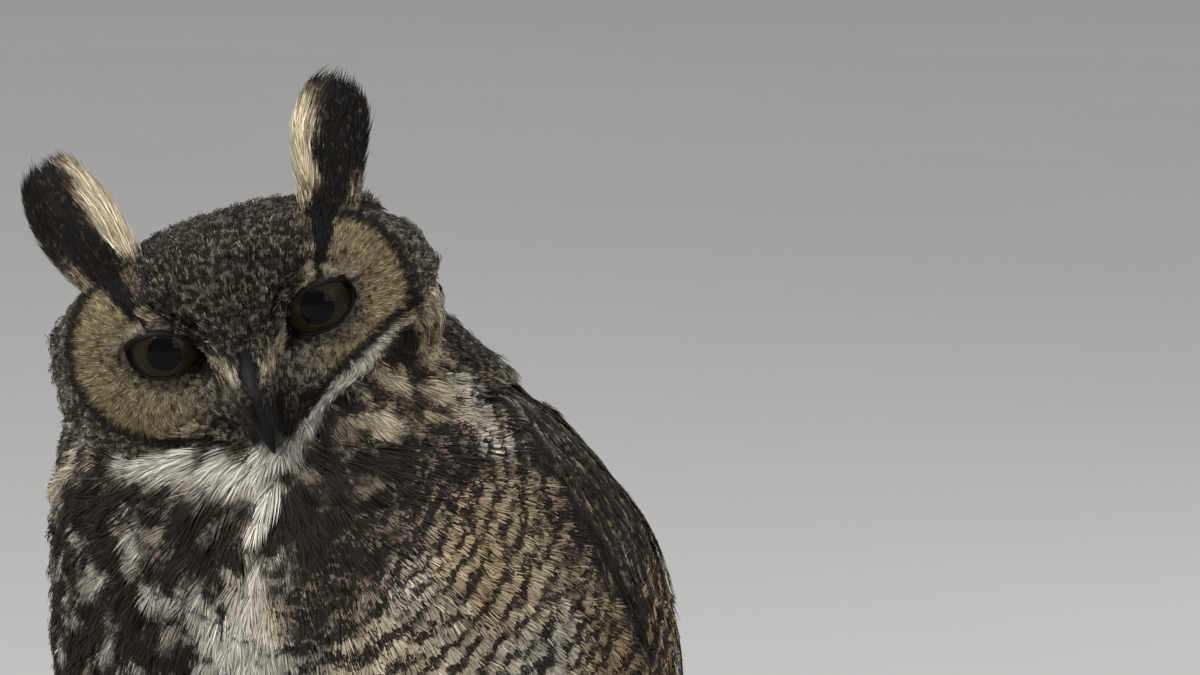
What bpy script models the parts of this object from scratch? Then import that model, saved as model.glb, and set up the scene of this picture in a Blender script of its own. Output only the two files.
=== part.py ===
"""A great horned owl, life size, standing at rest with its head turned to its left and tilted to its right.

The solids are the owl's outline out to the tips of its feathers. Metres, +Z up. The owl's body faces -Y, its left is +X,
its feet and the end of its tail rest on z = 0, and its bounding box is centred over the origin.
"""

import functools
import math

import bmesh
import bpy
import numpy as np
from mathutils import Euler, Matrix, Vector

# The gap kept between two pieces that meet.
GAP = 0.0003

# The head's place and turn. The head's own frame has its origin in mid skull, its face towards -Y and its crown up.
HEAD_CENTRE = Vector((-0.0257, -0.0562, 0.2880))
HEAD_TURN = math.radians(22.5)
HEAD_NOD = math.radians(4.0)
HEAD_TILT = math.radians(-17.5)

# The head, from its centre.
HEAD_HALF_WIDTH = 0.0825
HEAD_CROWN = 0.0390
HEAD_CHIN = 0.0500
HEAD_FACE = 0.0450
HEAD_NAPE = 0.0590
FACE_FLATNESS = 3.1
SKULL_ROUNDNESS = 2.15
# The skull narrows by this share from the face's rim back to the nape, and widens by this share down to its jowls.
NAPE_TAPER = 0.28
JOWL = 0.06
RIM_Y = -0.0300

# The face.
EYE_APART = 0.0300
EYE_DEPTH = 0.0275
EYE_RADIUS = 0.0160
EYE_HOLLOW = 0.0055
EYE_HOLLOW_RADIUS = 0.0190
BROW_HEIGHT = 0.0045
BROW_WIDTH = 0.0060
BROW_INNER = (0.0070, -0.0060)
BROW_OUTER = (0.0380, 0.0330)
BILL_MOUND = 0.0120
BILL_MOUND_CENTRE = -0.0190
BILL_MOUND_SPREAD = (0.0105, 0.0180)
DISC_RADIUS = 0.0350
DISC_RIM = 0.0030
DISC_RIM_WIDTH = 0.0050

# The body from the top of the neck to the belly's lowest feathers, as rings that a smooth surface runs through:
# height, half width, front, back, centre in x.
BODY_RINGS = (
    (0.3100, 0.0000, -0.0170, -0.0170, -0.0230),
    (0.3030, 0.0340, -0.0450, 0.0110, -0.0220),
    (0.2850, 0.0560, -0.0670, 0.0290, -0.0190),
    (0.2620, 0.0825, -0.0790, 0.0440, -0.0195),
    (0.2330, 0.0992, -0.1030, 0.0640, -0.0108),
    (0.1980, 0.1115, -0.1150, 0.0850, -0.0025),
    (0.1570, 0.1180, -0.1160, 0.1000, 0.0000),
    (0.1120, 0.1140, -0.1060, 0.1020, 0.0000),
    (0.0760, 0.0960, -0.0900, 0.0880, 0.0000),
    (0.0500, 0.0700, -0.0680, 0.0620, 0.0000),
    (0.0360, 0.0380, -0.0400, 0.0300, 0.0000),
    (0.0320, 0.0000, -0.0050, -0.0050, 0.0000),
)
BODY_ROUNDNESS = 2.15
NECK_CUT = 0.2480

# The folded left wing, on the body's side: height, how far round from the front its two edges are in degrees, and how
# far it stands out. Its underside is sunk into the body, which cuts it away.
WING_RINGS = (
    (0.2650, 78.0, 78.0, 0.0000),
    (0.2530, 61.0, 108.0, 0.0042),
    (0.2230, 73.0, 132.0, 0.0064),
    (0.1830, 79.0, 151.0, 0.0072),
    (0.1420, 81.0, 164.0, 0.0080),
    (0.1060, 88.0, 171.0, 0.0080),
    (0.0800, 106.0, 174.0, 0.0065),
    (0.0620, 136.0, 175.0, 0.0050),
    (0.0540, 158.0, 158.0, 0.0000),
)
WING_SUNK = 0.0030
WING_EDGE = 0.55
# Behind the belly the wings keep to a bed wider than the body: height, least half width, least back.
WING_BED = (
    (0.0500, 0.0840, 0.1400),
    (0.0800, 0.1000, 0.1260),
    (0.1150, 0.1140, 0.1100),
    (0.1600, 0.1160, 0.0900),
)
# The long wing feathers that show below it.
PRIMARY_RINGS = (
    ((0.0530, 0.0920, 0.0900), 0.0000, 0.0000, 0.160),
    ((0.0500, 0.0990, 0.0800), 0.0200, 0.0040, 0.160),
    ((0.0420, 0.1180, 0.0640), 0.0220, 0.0042, 0.180),
    ((0.0310, 0.1440, 0.0470), 0.0190, 0.0038, 0.200),
    ((0.0200, 0.1700, 0.0330), 0.0120, 0.0030, 0.200),
    ((0.0140, 0.1880, 0.0250), 0.0000, 0.0000, 0.200),
)
# The closed tail, which reaches down to the floor behind.
TAIL_RINGS = (
    ((0.0, 0.0620, 0.0880), 0.0000, 0.0000, 0.100),
    ((0.0, 0.0760, 0.0780), 0.0380, 0.0130, 0.100),
    ((0.0, 0.1060, 0.0560), 0.0430, 0.0100, 0.120),
    ((0.0, 0.1420, 0.0330), 0.0440, 0.0070, 0.180),
    ((0.0, 0.1760, 0.0150), 0.0440, 0.0050, 0.400),
    ((0.0, 0.2060, 0.0040), 0.0400, 0.0042, 0.900),
    ((0.0, 0.2200, 0.0020), 0.0000, 0.0000, 0.900),
)
# The ear tufts, in the head's frame, as if both were at its left: a point on the midline, half its breadth, half its
# thickness. The left one leans out further than the right one.
TUFT_RINGS = {
    "left": (
        ((0.0345, -0.0290, 0.0110), 0.0000, 0.0000, 0.060),
        ((0.0395, -0.0275, 0.0220), 0.0085, 0.0050, 0.060),
        ((0.0465, -0.0245, 0.0370), 0.0098, 0.0060, 0.060),
        ((0.0495, -0.0205, 0.0480), 0.0118, 0.0058, 0.060),
        ((0.0525, -0.0155, 0.0585), 0.0136, 0.0052, 0.060),
        ((0.0585, -0.0085, 0.0700), 0.0112, 0.0040, 0.060),
        ((0.0635, -0.0025, 0.0775), 0.0058, 0.0026, 0.060),
        ((0.0655, 0.0005, 0.0810), 0.0000, 0.0000, 0.060),
    ),
    "right": (
        ((0.0335, -0.0290, 0.0110), 0.0000, 0.0000, 0.060),
        ((0.0370, -0.0275, 0.0220), 0.0090, 0.0050, 0.060),
        ((0.0405, -0.0250, 0.0350), 0.0120, 0.0060, 0.060),
        ((0.0440, -0.0215, 0.0470), 0.0142, 0.0058, 0.060),
        ((0.0480, -0.0155, 0.0600), 0.0142, 0.0052, 0.060),
        ((0.0510, -0.0085, 0.0720), 0.0112, 0.0040, 0.060),
        ((0.0530, -0.0025, 0.0800), 0.0055, 0.0026, 0.060),
        ((0.0540, 0.0005, 0.0840), 0.0000, 0.0000, 0.060),
    ),
}

# The bill, in the head's frame: a point on its midline, half its width, half its height.
UPPER_BILL_RINGS = (
    ((0.0, -0.0400, -0.0120), 0.0000, 0.0000),
    ((0.0, -0.0440, -0.0125), 0.0075, 0.0075),
    ((0.0, -0.0540, -0.0150), 0.0072, 0.0075),
    ((0.0, -0.0620, -0.0220), 0.0060, 0.0064),
    ((0.0, -0.0655, -0.0320), 0.0042, 0.0048),
    ((0.0, -0.0640, -0.0410), 0.0020, 0.0026),
    ((0.0, -0.0615, -0.0460), 0.0000, 0.0000),
)
LOWER_BILL_RINGS = (
    ((0.0, -0.0400, -0.0270), 0.0000, 0.0000),
    ((0.0, -0.0440, -0.0280), 0.0056, 0.0030),
    ((0.0, -0.0520, -0.0310), 0.0046, 0.0028),
    ((0.0, -0.0565, -0.0345), 0.0026, 0.0020),
    ((0.0, -0.0580, -0.0365), 0.0000, 0.0000),
)

# Legs and feet.
LEG_APART = 0.0380
LEG_FRONT = -0.0180
LEG_RINGS = (
    (0.0700, 0.0000),
    (0.0660, 0.0170),
    (0.0450, 0.0195),
    (0.0280, 0.0150),
    (0.0170, 0.0110),
    (0.0150, 0.0000),
)
ANKLE_RADIUS = 0.0125
ANKLE_HEIGHT = 0.0095
TOE_BASE_RADIUS = 0.0090
TOE_END_RADIUS = 0.0076
TOE_HEIGHT = 0.0072
# Each toe of the left foot: its name, its turn outwards from straight ahead in degrees, and its length.
TOES = (
    ("inner", -16.0, 0.0360),
    ("middle", 10.0, 0.0420),
    ("outer", 52.0, 0.0350),
    ("hind", 172.0, 0.0270),
)
CLAW_BEND_RADIUS = 0.0165
CLAW_START = math.radians(28.0)
CLAW_END = math.radians(-66.0)
CLAW_BASE_RADIUS = 0.0046
CLAW_TIP_RADIUS = 0.0007

SIDES = (("left", 1.0), ("right", -1.0))

COLOURS = {
    "plumage": ((0.16, 0.12, 0.085), 0.85),
    "pale_plumage": ((0.52, 0.44, 0.32), 0.85),
    "dark_plumage": ((0.045, 0.035, 0.03), 0.85),
    "horn": ((0.02, 0.02, 0.022), 0.35),
    "eye": ((0.03, 0.025, 0.012), 0.06),
}


def clear_scene():
    for obj in list(bpy.data.objects):
        bpy.data.objects.remove(obj)


def material(name):
    """The named material, made once."""
    found = bpy.data.materials.get(name)
    if found:
        return found
    colour, roughness = COLOURS[name]
    made = bpy.data.materials.new(name)
    made.use_nodes = True
    shader = made.node_tree.nodes["Principled BSDF"]
    shader.inputs["Base Color"].default_value = (*colour, 1.0)
    shader.inputs["Roughness"].default_value = roughness
    shader.inputs["Metallic"].default_value = 0.0
    return made


def smooth_row(rows, along):
    """The row of numbers at along, from 0 to 1, on a smooth curve through evenly spaced rows."""
    table = np.asarray(rows, float)
    slopes = np.gradient(table, axis=0)
    place = along * (len(table) - 1)
    first = min(int(place), len(table) - 2)
    u = place - first
    start, end = table[first], table[first + 1]
    return (
        (2 * u**3 - 3 * u**2 + 1) * start
        + (u**3 - 2 * u**2 + u) * slopes[first]
        + (3 * u**2 - 2 * u**3) * end
        + (u**3 - u**2) * slopes[first + 1]
    )


def flat_rows(rings):
    """Rings whose first entry is a point, as plain rows of numbers."""
    return [(*point, *sizes) for point, *sizes in rings]


def shaped(name, finish, segments, rings, place):
    """A closed piece: a sphere's surface moved by place(along, angle), where along runs from one pole to the other."""
    mesh = bpy.data.meshes.new(name)
    bm = bmesh.new()
    bmesh.ops.create_uvsphere(bm, u_segments=segments, v_segments=rings, radius=1.0)
    for vert in bm.verts:
        along = math.acos(max(-1.0, min(1.0, vert.co.z))) / math.pi
        vert.co = place(along, math.atan2(vert.co.y, vert.co.x))
    bmesh.ops.triangulate(bm, faces=bm.faces)
    if bm.calc_volume(signed=True) < 0:
        bmesh.ops.reverse_faces(bm, faces=bm.faces)
    bm.to_mesh(mesh)
    bm.free()
    mesh.shade_smooth()
    obj = bpy.data.objects.new(name, mesh)
    obj.data.materials.append(material(finish))
    bpy.context.scene.collection.objects.link(obj)
    return obj


def superellipse(angle, roundness):
    """The point at angle on a unit circle that a roundness over 2 makes squarer."""
    power = 2.0 / roundness
    across, ahead = math.cos(angle), math.sin(angle)
    return math.copysign(abs(across) ** power, across), math.copysign(abs(ahead) ** power, ahead)


def body_point(along, angle):
    height, half_width, front, back, centre = smooth_row(BODY_RINGS, along)
    across, ahead = superellipse(angle, BODY_ROUNDNESS)
    middle, half_depth = (front + back) / 2, max(0.0, (back - front) / 2)
    return Vector((centre + max(0.0, half_width) * across, middle + half_depth * ahead, height))


@functools.cache
def body_table():
    """The body's rings, close together and from the lowest up."""
    return np.array([smooth_row(BODY_RINGS, along) for along in np.linspace(1.0, 0.0, 300)])


def body_ring(height):
    """The body's half width, front, back and centre in x at a height."""
    table = body_table()
    return [float(np.interp(height, table[:, 0], table[:, column])) for column in range(1, 5)]


def bed_point(side, height, turn):
    """A point of the surface that the wings lie on, at a height and a turn from the front towards one side."""
    half_width, front, back, centre = body_ring(height)
    heights, widths, backs = zip(*WING_BED)
    if height < heights[-1]:
        half_width = max(half_width, float(np.interp(height, heights, widths)))
        back = max(back, float(np.interp(height, heights, backs)))
    across, ahead = superellipse(turn - math.pi / 2, BODY_ROUNDNESS)
    middle, half_depth = (front + back) / 2, (back - front) / 2
    return Vector((centre + side * half_width * across, middle + half_depth * ahead, height))


def wing_point(side, along, angle):
    height, front, rear, thickness = smooth_row(WING_RINGS, along)
    turn = math.radians((front + rear) / 2 - (rear - front) / 2 * math.cos(angle))
    here = bed_point(side, height, turn)
    ahead = bed_point(side, height, turn + 0.02) - here
    above = bed_point(side, height + 0.002, turn) - here
    out = ahead.cross(above).normalized() * side
    rise = -WING_SUNK
    if math.sin(angle) > 0.0:
        rise += (max(0.0, thickness) + WING_SUNK) * math.sin(angle) ** WING_EDGE
    return here + out * rise


def distance_to_brow(x, z):
    """How far a point of the face, at |x|, is from the brow's line."""
    start, end = Vector(BROW_INNER), Vector(BROW_OUTER)
    line = end - start
    point = Vector((x, z))
    share = max(0.0, min(1.0, (point - start).dot(line) / line.length_squared))
    return (point - start - line * share).length


def hump(distance, width):
    """A smooth rise of 1 where distance is 0, which is nearly gone at twice the width."""
    return math.exp(-((distance / width) ** 2))


def face_relief(x, z):
    """How far the face stands forward at a point: brows, the mound round the bill, the discs' rims and the eyes' hollows."""
    x = abs(x)
    from_eye = math.hypot(x - EYE_APART, z)
    spread_x, spread_z = BILL_MOUND_SPREAD
    mound = hump(math.hypot(x / spread_x, (z - BILL_MOUND_CENTRE) / spread_z), 1.0)
    rim = hump(from_eye - DISC_RADIUS, DISC_RIM_WIDTH) * min(1.0, max(0.0, x / EYE_APART))
    return (
        BROW_HEIGHT * hump(distance_to_brow(x, z), BROW_WIDTH)
        + BILL_MOUND * mound
        + DISC_RIM * rim
        - EYE_HOLLOW * hump(from_eye, EYE_HOLLOW_RADIUS)
    )


def head_point(along, angle):
    """The skull's squared ball with the face's relief, in the head's frame. The first pole is mid face."""
    forward = math.cos(math.pi * along)
    around = math.sin(math.pi * along)
    direction = Vector((around * math.cos(angle), -forward, around * math.sin(angle)))
    reach = (
        HEAD_HALF_WIDTH,
        HEAD_FACE if forward > 0 else HEAD_NAPE,
        HEAD_CROWN if direction.z > 0 else HEAD_CHIN,
    )
    facing = max(0.0, forward)
    power = SKULL_ROUNDNESS + (FACE_FLATNESS - SKULL_ROUNDNESS) * facing
    total = sum(abs(part / size) ** power for part, size in zip(direction, reach))
    point = direction * total ** (-1.0 / power)
    point.x *= 1.0 - NAPE_TAPER * min(1.0, max(0.0, (point.y - RIM_Y) / (HEAD_NAPE - RIM_Y)))
    point.x *= 1.0 + JOWL * min(1.0, max(0.0, -point.z / (0.5 * HEAD_CHIN)))
    share = min(1.0, max(0.0, -point.y / (0.5 * HEAD_FACE)))
    point.y -= face_relief(point.x, point.z) * share
    return point


def blade_point(rings, outward, along, angle):
    """A point of a flat, tapering piece that bends round the body. outward gives its broad side's direction at a point."""
    rows = flat_rows(rings)
    x, y, z, breadth, thickness, bend = smooth_row(rows, along)
    step = 0.01
    after = Vector(smooth_row(rows, min(1.0, along + step))[:3])
    before = Vector(smooth_row(rows, max(0.0, along - step))[:3])
    middle = Vector((x, y, z))
    run = (after - before).normalized()
    out = outward(middle)
    out = (out - run * out.dot(run)).normalized()
    side = run.cross(out)
    across = max(0.0, breadth) * math.cos(angle)
    rise = max(0.0, thickness) * math.sin(angle) - across**2 / (2 * bend)
    return middle + side * across + out * rise


def wing(name, side):
    return shaped(name, "dark_plumage", 20, 12, lambda along, angle: wing_point(side, along, angle))


def from_body_axis(point):
    """Outwards from the body, a little upwards towards the tail."""
    return Vector((point.x, 0.75 * point.y + 0.010, 0.018 + 0.25 * max(0.0, point.y))).normalized()


def upwards(point):
    return Vector((0.0, 0.35, 1.0)).normalized()


def forwards(point):
    return Vector((0.20, -1.0, 0.15)).normalized()


def blade(name, finish, rings, outward, side, segments, count):
    def place(along, angle):
        point = blade_point(rings, outward, along, angle)
        return Vector((point.x * side, point.y, point.z))

    return shaped(name, finish, segments, count, place)


def bill_part(name, rings, segments, count):
    """Half of the bill: round sections along a hooked midline, which lies in the plane x = 0."""
    rows = flat_rows(rings)

    def place(along, angle):
        x, y, z, half_width, half_height = smooth_row(rows, along)
        step = 0.01
        after = Vector(smooth_row(rows, min(1.0, along + step))[:3])
        before = Vector(smooth_row(rows, max(0.0, along - step))[:3])
        run = (after - before).normalized()
        up = Vector((1.0, 0.0, 0.0)).cross(run)
        return (
            Vector((x, y, z))
            + Vector((1.0, 0.0, 0.0)) * max(0.0, half_width) * math.cos(angle)
            + up * max(0.0, half_height) * math.sin(angle)
        )

    return shaped(name, "horn", segments, count, place)


def eyeball(name, side):
    def place(along, angle):
        around = math.sin(math.pi * along) * EYE_RADIUS
        return Vector(
            (
                side * EYE_APART + around * math.cos(angle),
                -EYE_DEPTH - EYE_RADIUS * math.cos(math.pi * along),
                around * math.sin(angle),
            )
        )

    return shaped(name, "eye", 14, 10, place)


def leg(name, side):
    def place(along, angle):
        height, radius = smooth_row(LEG_RINGS, along)
        radius = max(0.0, radius)
        return Vector(
            (side * LEG_APART + radius * math.cos(angle), LEG_FRONT + 1.15 * radius * math.sin(angle), height)
        )

    return shaped(name, "pale_plumage", 12, 7, place)


def toe_direction(turn, side):
    angle = math.radians(turn)
    return Vector((side * math.sin(angle), -math.cos(angle), 0.0))


def ankle_centre(side):
    return Vector((side * LEG_APART, LEG_FRONT - 0.002, ANKLE_HEIGHT))


def on_floor(point):
    """The point, pressed up to the floor where it would be below it."""
    return Vector((point.x, point.y, max(0.0, point.z)))


def ankle(name, side):
    def place(along, angle):
        around = math.sin(math.pi * along) * ANKLE_RADIUS
        offset = Vector((around * math.cos(angle), around * math.sin(angle), ANKLE_RADIUS * math.cos(math.pi * along)))
        return ankle_centre(side) + offset

    return shaped(name, "pale_plumage", 12, 7, place)


def toe(name, side, turn, length):
    """A round-ended toe, which reaches a little below the floor."""
    run = toe_direction(turn, side)
    across = Vector((-run.y, run.x, 0.0))
    start = ankle_centre(side)

    def place(along, angle):
        round_end = math.sin(math.pi * along) ** 0.6
        radius = (TOE_BASE_RADIUS + (TOE_END_RADIUS - TOE_BASE_RADIUS) * along) * round_end
        middle = start + run * length * along
        middle.z = TOE_HEIGHT
        return middle + across * radius * math.cos(angle) + Vector((0.0, 0.0, radius * math.sin(angle)))

    return shaped(name, "pale_plumage", 9, 6, place)


def claw(name, side, turn, length):
    """A hooked claw from inside the toe's end, whose point comes down to the floor."""
    run = toe_direction(turn, side)
    across = Vector((-run.y, run.x, 0.0))
    root = ankle_centre(side) + run * (length - 0.0060)
    root.z = TOE_HEIGHT + 0.0010

    def place(along, angle):
        bend = CLAW_START + (CLAW_END - CLAW_START) * along
        ahead = CLAW_BEND_RADIUS * (math.sin(CLAW_START) - math.sin(bend))
        rise = CLAW_BEND_RADIUS * (math.cos(bend) - math.cos(CLAW_START))
        taper = CLAW_TIP_RADIUS + (CLAW_BASE_RADIUS - CLAW_TIP_RADIUS) * (1.0 - along) ** 0.8
        radius = taper * min(1.0, 3.0 * math.sin(math.pi * along))
        up = Vector((0.0, 0.0, math.cos(bend))) - run * math.sin(bend)
        point = root + run * ahead + Vector((0.0, 0.0, rise))
        return on_floor(point + across * radius * 0.85 * math.cos(angle) + up * radius * math.sin(angle))

    return shaped(name, "horn", 7, 7, place)


def helper_of(obj, grown_by):
    """A hidden copy of obj's plain shape, larger by grown_by, to cut its neighbours with."""
    copy = obj.copy()
    copy.data = obj.data.copy()
    copy.name = obj.name + "_cutter"
    copy.modifiers.clear()
    bm = bmesh.new()
    bm.from_mesh(copy.data)
    bm.normal_update()
    moved = [(vert, vert.co + vert.normal * grown_by) for vert in bm.verts]
    for vert, place in moved:
        vert.co = place
    bm.to_mesh(copy.data)
    bm.free()
    copy.hide_render = True
    copy.display_type = "WIRE"
    bpy.context.scene.collection.objects.link(copy)
    return copy


def add_boolean(obj, cutter, operation):
    modifier = obj.modifiers.new(operation.lower() + "_" + cutter.name, "BOOLEAN")
    modifier.operation = operation
    modifier.solver = "EXACT"
    modifier.object = cutter


def cut_by(obj, *cutters):
    for cutter in cutters:
        add_boolean(obj, cutter, "DIFFERENCE")


def slab(name, low, high):
    """A hidden block as wide as the owl, from one height to another."""
    mesh = bpy.data.meshes.new(name)
    bm = bmesh.new()
    bmesh.ops.create_cube(bm, size=1.0)
    bmesh.ops.scale(bm, vec=(0.6, 0.8, high - low), verts=bm.verts)
    bmesh.ops.translate(bm, vec=(0.0, 0.0, (low + high) / 2), verts=bm.verts)
    bm.to_mesh(mesh)
    bm.free()
    obj = bpy.data.objects.new(name, mesh)
    obj.hide_render = True
    obj.display_type = "WIRE"
    bpy.context.scene.collection.objects.link(obj)
    return obj


def make_head(frame):
    """The head with its tufts, eyes and bill, all held in the head's frame. It gives the helpers that cut the neck."""
    head = shaped("head", "plumage", 32, 21, head_point)
    upper = bill_part("bill_upper", UPPER_BILL_RINGS, 12, 10)
    lower = bill_part("bill_lower", LOWER_BILL_RINGS, 10, 6)
    pieces = [head, upper, lower]
    head_cutter = helper_of(head, GAP)
    upper_cutter = helper_of(upper, GAP)
    lower_cutter = helper_of(lower, GAP)
    helpers = [head_cutter, upper_cutter, lower_cutter]
    cut_by(lower, upper_cutter)
    for side_name, side in SIDES:
        eye = eyeball("eye_" + side_name, side)
        tuft = blade("ear_tuft_" + side_name, "dark_plumage", TUFT_RINGS[side_name], forwards, side, 12, 9)
        cut_by(tuft, head_cutter)
        helpers.append(helper_of(eye, GAP))
        pieces += [eye, tuft]
    cut_by(head, *helpers[1:])
    for obj in pieces + helpers:
        obj.parent = frame
    return head_cutter, upper_cutter, lower_cutter


def make_body(head_cutters):
    """Trunk and neck: one surface, parted by a thin level cut. It gives the helper that cuts what lies on them."""
    trunk = shaped("trunk", "plumage", 34, 19, body_point)
    neck = shaped("neck", "plumage", 34, 19, body_point)
    body_cutter = helper_of(trunk, GAP)
    cut_by(trunk, slab("above_neck_cut", NECK_CUT - GAP / 2, NECK_CUT + 0.2), *head_cutters)
    cut_by(neck, slab("below_neck_cut", -0.1, NECK_CUT + GAP / 2), *head_cutters)
    return body_cutter


def make_wings(head_cutter, body_cutter, tail_cutter):
    for side_name, side in SIDES:
        folded = wing("wing_" + side_name, side)
        primaries = blade("primaries_" + side_name, "dark_plumage", PRIMARY_RINGS, from_body_axis, side, 12, 8)
        wing_cutter = helper_of(folded, GAP)
        cut_by(folded, body_cutter, head_cutter, tail_cutter)
        cut_by(primaries, wing_cutter, body_cutter, tail_cutter)


def make_tail(body_cutter):
    tail = blade("tail", "plumage", TAIL_RINGS, upwards, 1.0, 14, 10)
    for vert in tail.data.vertices:
        vert.co = on_floor(vert.co)
    cutter = helper_of(tail, GAP)
    cut_by(tail, body_cutter)
    return cutter


def make_leg_and_foot(side_name, side, body_cutter, floor_cutter):
    """One feathered leg, and its foot: an ankle and four toes joined, flat underneath, with a claw set in each toe."""
    shank = leg("leg_" + side_name, side)
    foot = ankle("foot_" + side_name, side)
    for toe_name, turn, length in TOES:
        add_boolean(foot, hidden(toe("toe_" + side_name + "_" + toe_name, side, turn, length)), "UNION")
    cut_by(foot, floor_cutter, helper_of(shank, GAP))
    cut_by(shank, body_cutter)
    for toe_name, turn, length in TOES:
        nail = claw("claw_" + side_name + "_" + toe_name, side, turn, length)
        cut_by(foot, helper_of(nail, GAP))


def hidden(obj):
    obj.hide_render = True
    obj.display_type = "WIRE"
    return obj


def centre_over_origin(frame):
    """Moves everything so that the box round the visible pieces stands centred over the origin."""
    bpy.context.view_layer.update()
    graph = bpy.context.evaluated_depsgraph_get()
    places = []
    for obj in bpy.context.scene.objects:
        if obj.type == "MESH" and not obj.hide_render:
            final = obj.evaluated_get(graph)
            places += [final.matrix_world @ vert.co for vert in final.data.vertices]
    low = Vector(min(place[i] for place in places) for i in range(3))
    high = Vector(max(place[i] for place in places) for i in range(3))
    frame.location = (-(low.x + high.x) / 2, -(low.y + high.y) / 2, -low.z)


def main():
    clear_scene()
    whole = bpy.data.objects.new("owl", None)
    head_frame = bpy.data.objects.new("head_frame", None)
    for empty in (whole, head_frame):
        bpy.context.scene.collection.objects.link(empty)
    turn = Euler((HEAD_NOD, HEAD_TILT, HEAD_TURN), "YXZ").to_matrix().to_4x4()
    head_frame.matrix_world = Matrix.Translation(HEAD_CENTRE) @ turn

    head_cutters = make_head(head_frame)
    body_cutter = make_body(head_cutters)
    tail_cutter = make_tail(body_cutter)
    make_wings(head_cutters[0], body_cutter, tail_cutter)
    floor_cutter = slab("floor", -0.1, 0.0)
    for side_name, side in SIDES:
        make_leg_and_foot(side_name, side, body_cutter, floor_cutter)
    for obj in bpy.context.scene.objects:
        if obj.parent is None and obj is not whole:
            obj.parent = whole
    centre_over_origin(whole)


main()
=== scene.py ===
"""A great horned owl, life size: skin, coat, flight feathers, eyes, bill and claws over its solid frame.

Head coordinates have their origin in mid skull, the face towards -Y, the crown up and the owl's left at +X.
All sizes are in metres.
"""

import functools
import math

import bmesh
import bpy
import numpy as np
from bpy.props import FloatProperty, FloatVectorProperty, IntProperty, PointerProperty
from bpy.types import Operator, Panel, PropertyGroup
from mathutils import Euler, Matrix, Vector
from mathutils.bvhtree import BVHTree


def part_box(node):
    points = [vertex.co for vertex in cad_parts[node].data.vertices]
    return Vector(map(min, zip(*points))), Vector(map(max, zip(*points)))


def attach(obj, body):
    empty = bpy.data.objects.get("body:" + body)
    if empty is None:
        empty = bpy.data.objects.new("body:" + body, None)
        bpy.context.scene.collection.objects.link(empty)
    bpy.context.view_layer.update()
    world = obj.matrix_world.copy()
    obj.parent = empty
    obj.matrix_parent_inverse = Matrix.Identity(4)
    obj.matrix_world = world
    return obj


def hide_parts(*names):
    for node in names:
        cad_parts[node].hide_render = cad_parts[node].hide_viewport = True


bl_info = {
    "name": "Great horned owl",
    "version": (1, 0, 0),
    "blender": (4, 5, 0),
    "location": "3D View > Sidebar > Owl",
    "description": "Builds the looks of a still, life-size great horned owl",
    "category": "Object",
}

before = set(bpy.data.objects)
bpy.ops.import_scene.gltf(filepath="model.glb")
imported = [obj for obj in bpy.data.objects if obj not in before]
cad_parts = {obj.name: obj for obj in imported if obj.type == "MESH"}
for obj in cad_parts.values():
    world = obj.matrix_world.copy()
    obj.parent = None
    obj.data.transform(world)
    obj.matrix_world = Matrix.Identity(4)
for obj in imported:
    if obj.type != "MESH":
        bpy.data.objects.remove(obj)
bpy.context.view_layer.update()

# The nodes of flesh by kind.
FLESH = {
    "head": ("head",),
    "neck": ("neck",),
    "trunk": ("trunk",),
    "wing": ("wing_left", "wing_right"),
    "primary": ("primaries_left", "primaries_right"),
    "tail": ("tail",),
    "tuft": ("ear_tuft_left", "ear_tuft_right"),
    "leg": ("leg_left", "leg_right"),
    "foot": ("foot_left", "foot_right"),
}
# Harder nodes that the skin closes up to, and that no feather grows on.
HARD = {"eye": ("eye_left", "eye_right"), "bill": ("bill_upper", "bill_lower")}
KINDS = list(FLESH) + list(HARD)
# The owl's own two sides, and the sign of each on X.
SIDES = (("left", 1.0), ("right", -1.0))

# How far the skin is inside the solids in the face, and elsewhere by kind.
FACE_DEPTH = 0.0026
COAT_DEPTH = {
    "head": 0.0036,
    "neck": 0.0050,
    "trunk": 0.0060,
    "wing": 0.0030,
    "primary": 0.0018,
    "tail": 0.0018,
    "tuft": 0.0018,
    "leg": 0.0034,
    "foot": 0.0012,
    "eye": 0.0010,
    "bill": 0.0016,
}

# The head's turn, nod and tilt, and how far the eyes' centres are in front of mid skull.
HEAD_TURN = math.radians(22.5)
HEAD_NOD = math.radians(4.0)
HEAD_TILT = math.radians(-17.5)
EYE_DEPTH = 0.0275

# How large the eyeball and its iris are, how broad the bare lids are, and between which distances from an
# eye's middle the skin goes from fitted to the eyeball to free.
EYE_RADIUS = 0.0160
IRIS_RADIUS = 0.0124
LID_BREADTH = 0.0009
FITTED = (0.026, 0.034)

# Where the skin of the ear tufts starts to be shortened, up from mid skull, and by what share.
TUFT_CUT = 0.058
TUFT_SHORTENED = 0.70

# How far bristles stay off the bill, how much a flight feather's path sags, how wide its barbs are, and its
# breadth at the tip as a share of the whole.
BRISTLE_GAP = 0.0007
SAG = 0.010
STIFF_BARB = 0.0012
QUILL_TIP = 0.32

# The upright line that turns round the body are measured about, the body's radius, and the top of the breast.
BODY_AXIS = np.array((0.0, -0.0580, 0.0))
BODY_RADIUS = 0.112
BREAST_TOP = 0.268

# The most triangles in one piece of coat, the height that no feather goes below, and how wide a feather's
# patch on the UV map is.
MOST_TRIANGLES = 190000
LOWEST = 0.0005
PATCH = 0.0030

# How much the bars differ from one soft feather to the next and from one long one to the next, and how much
# they bend back at a feather's edges, all in bars.
BAR_JITTER = 0.16
LONG_JITTER = 0.12
BAR_BEND = 0.22

# How many steps a soft feather's midline has, how near the skin has to be to hold it, and how much of the
# last step's normal is added to the skin's.
STEPS_ALONG = 4
HOLD = 0.0050
STEADY = 0.35

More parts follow.
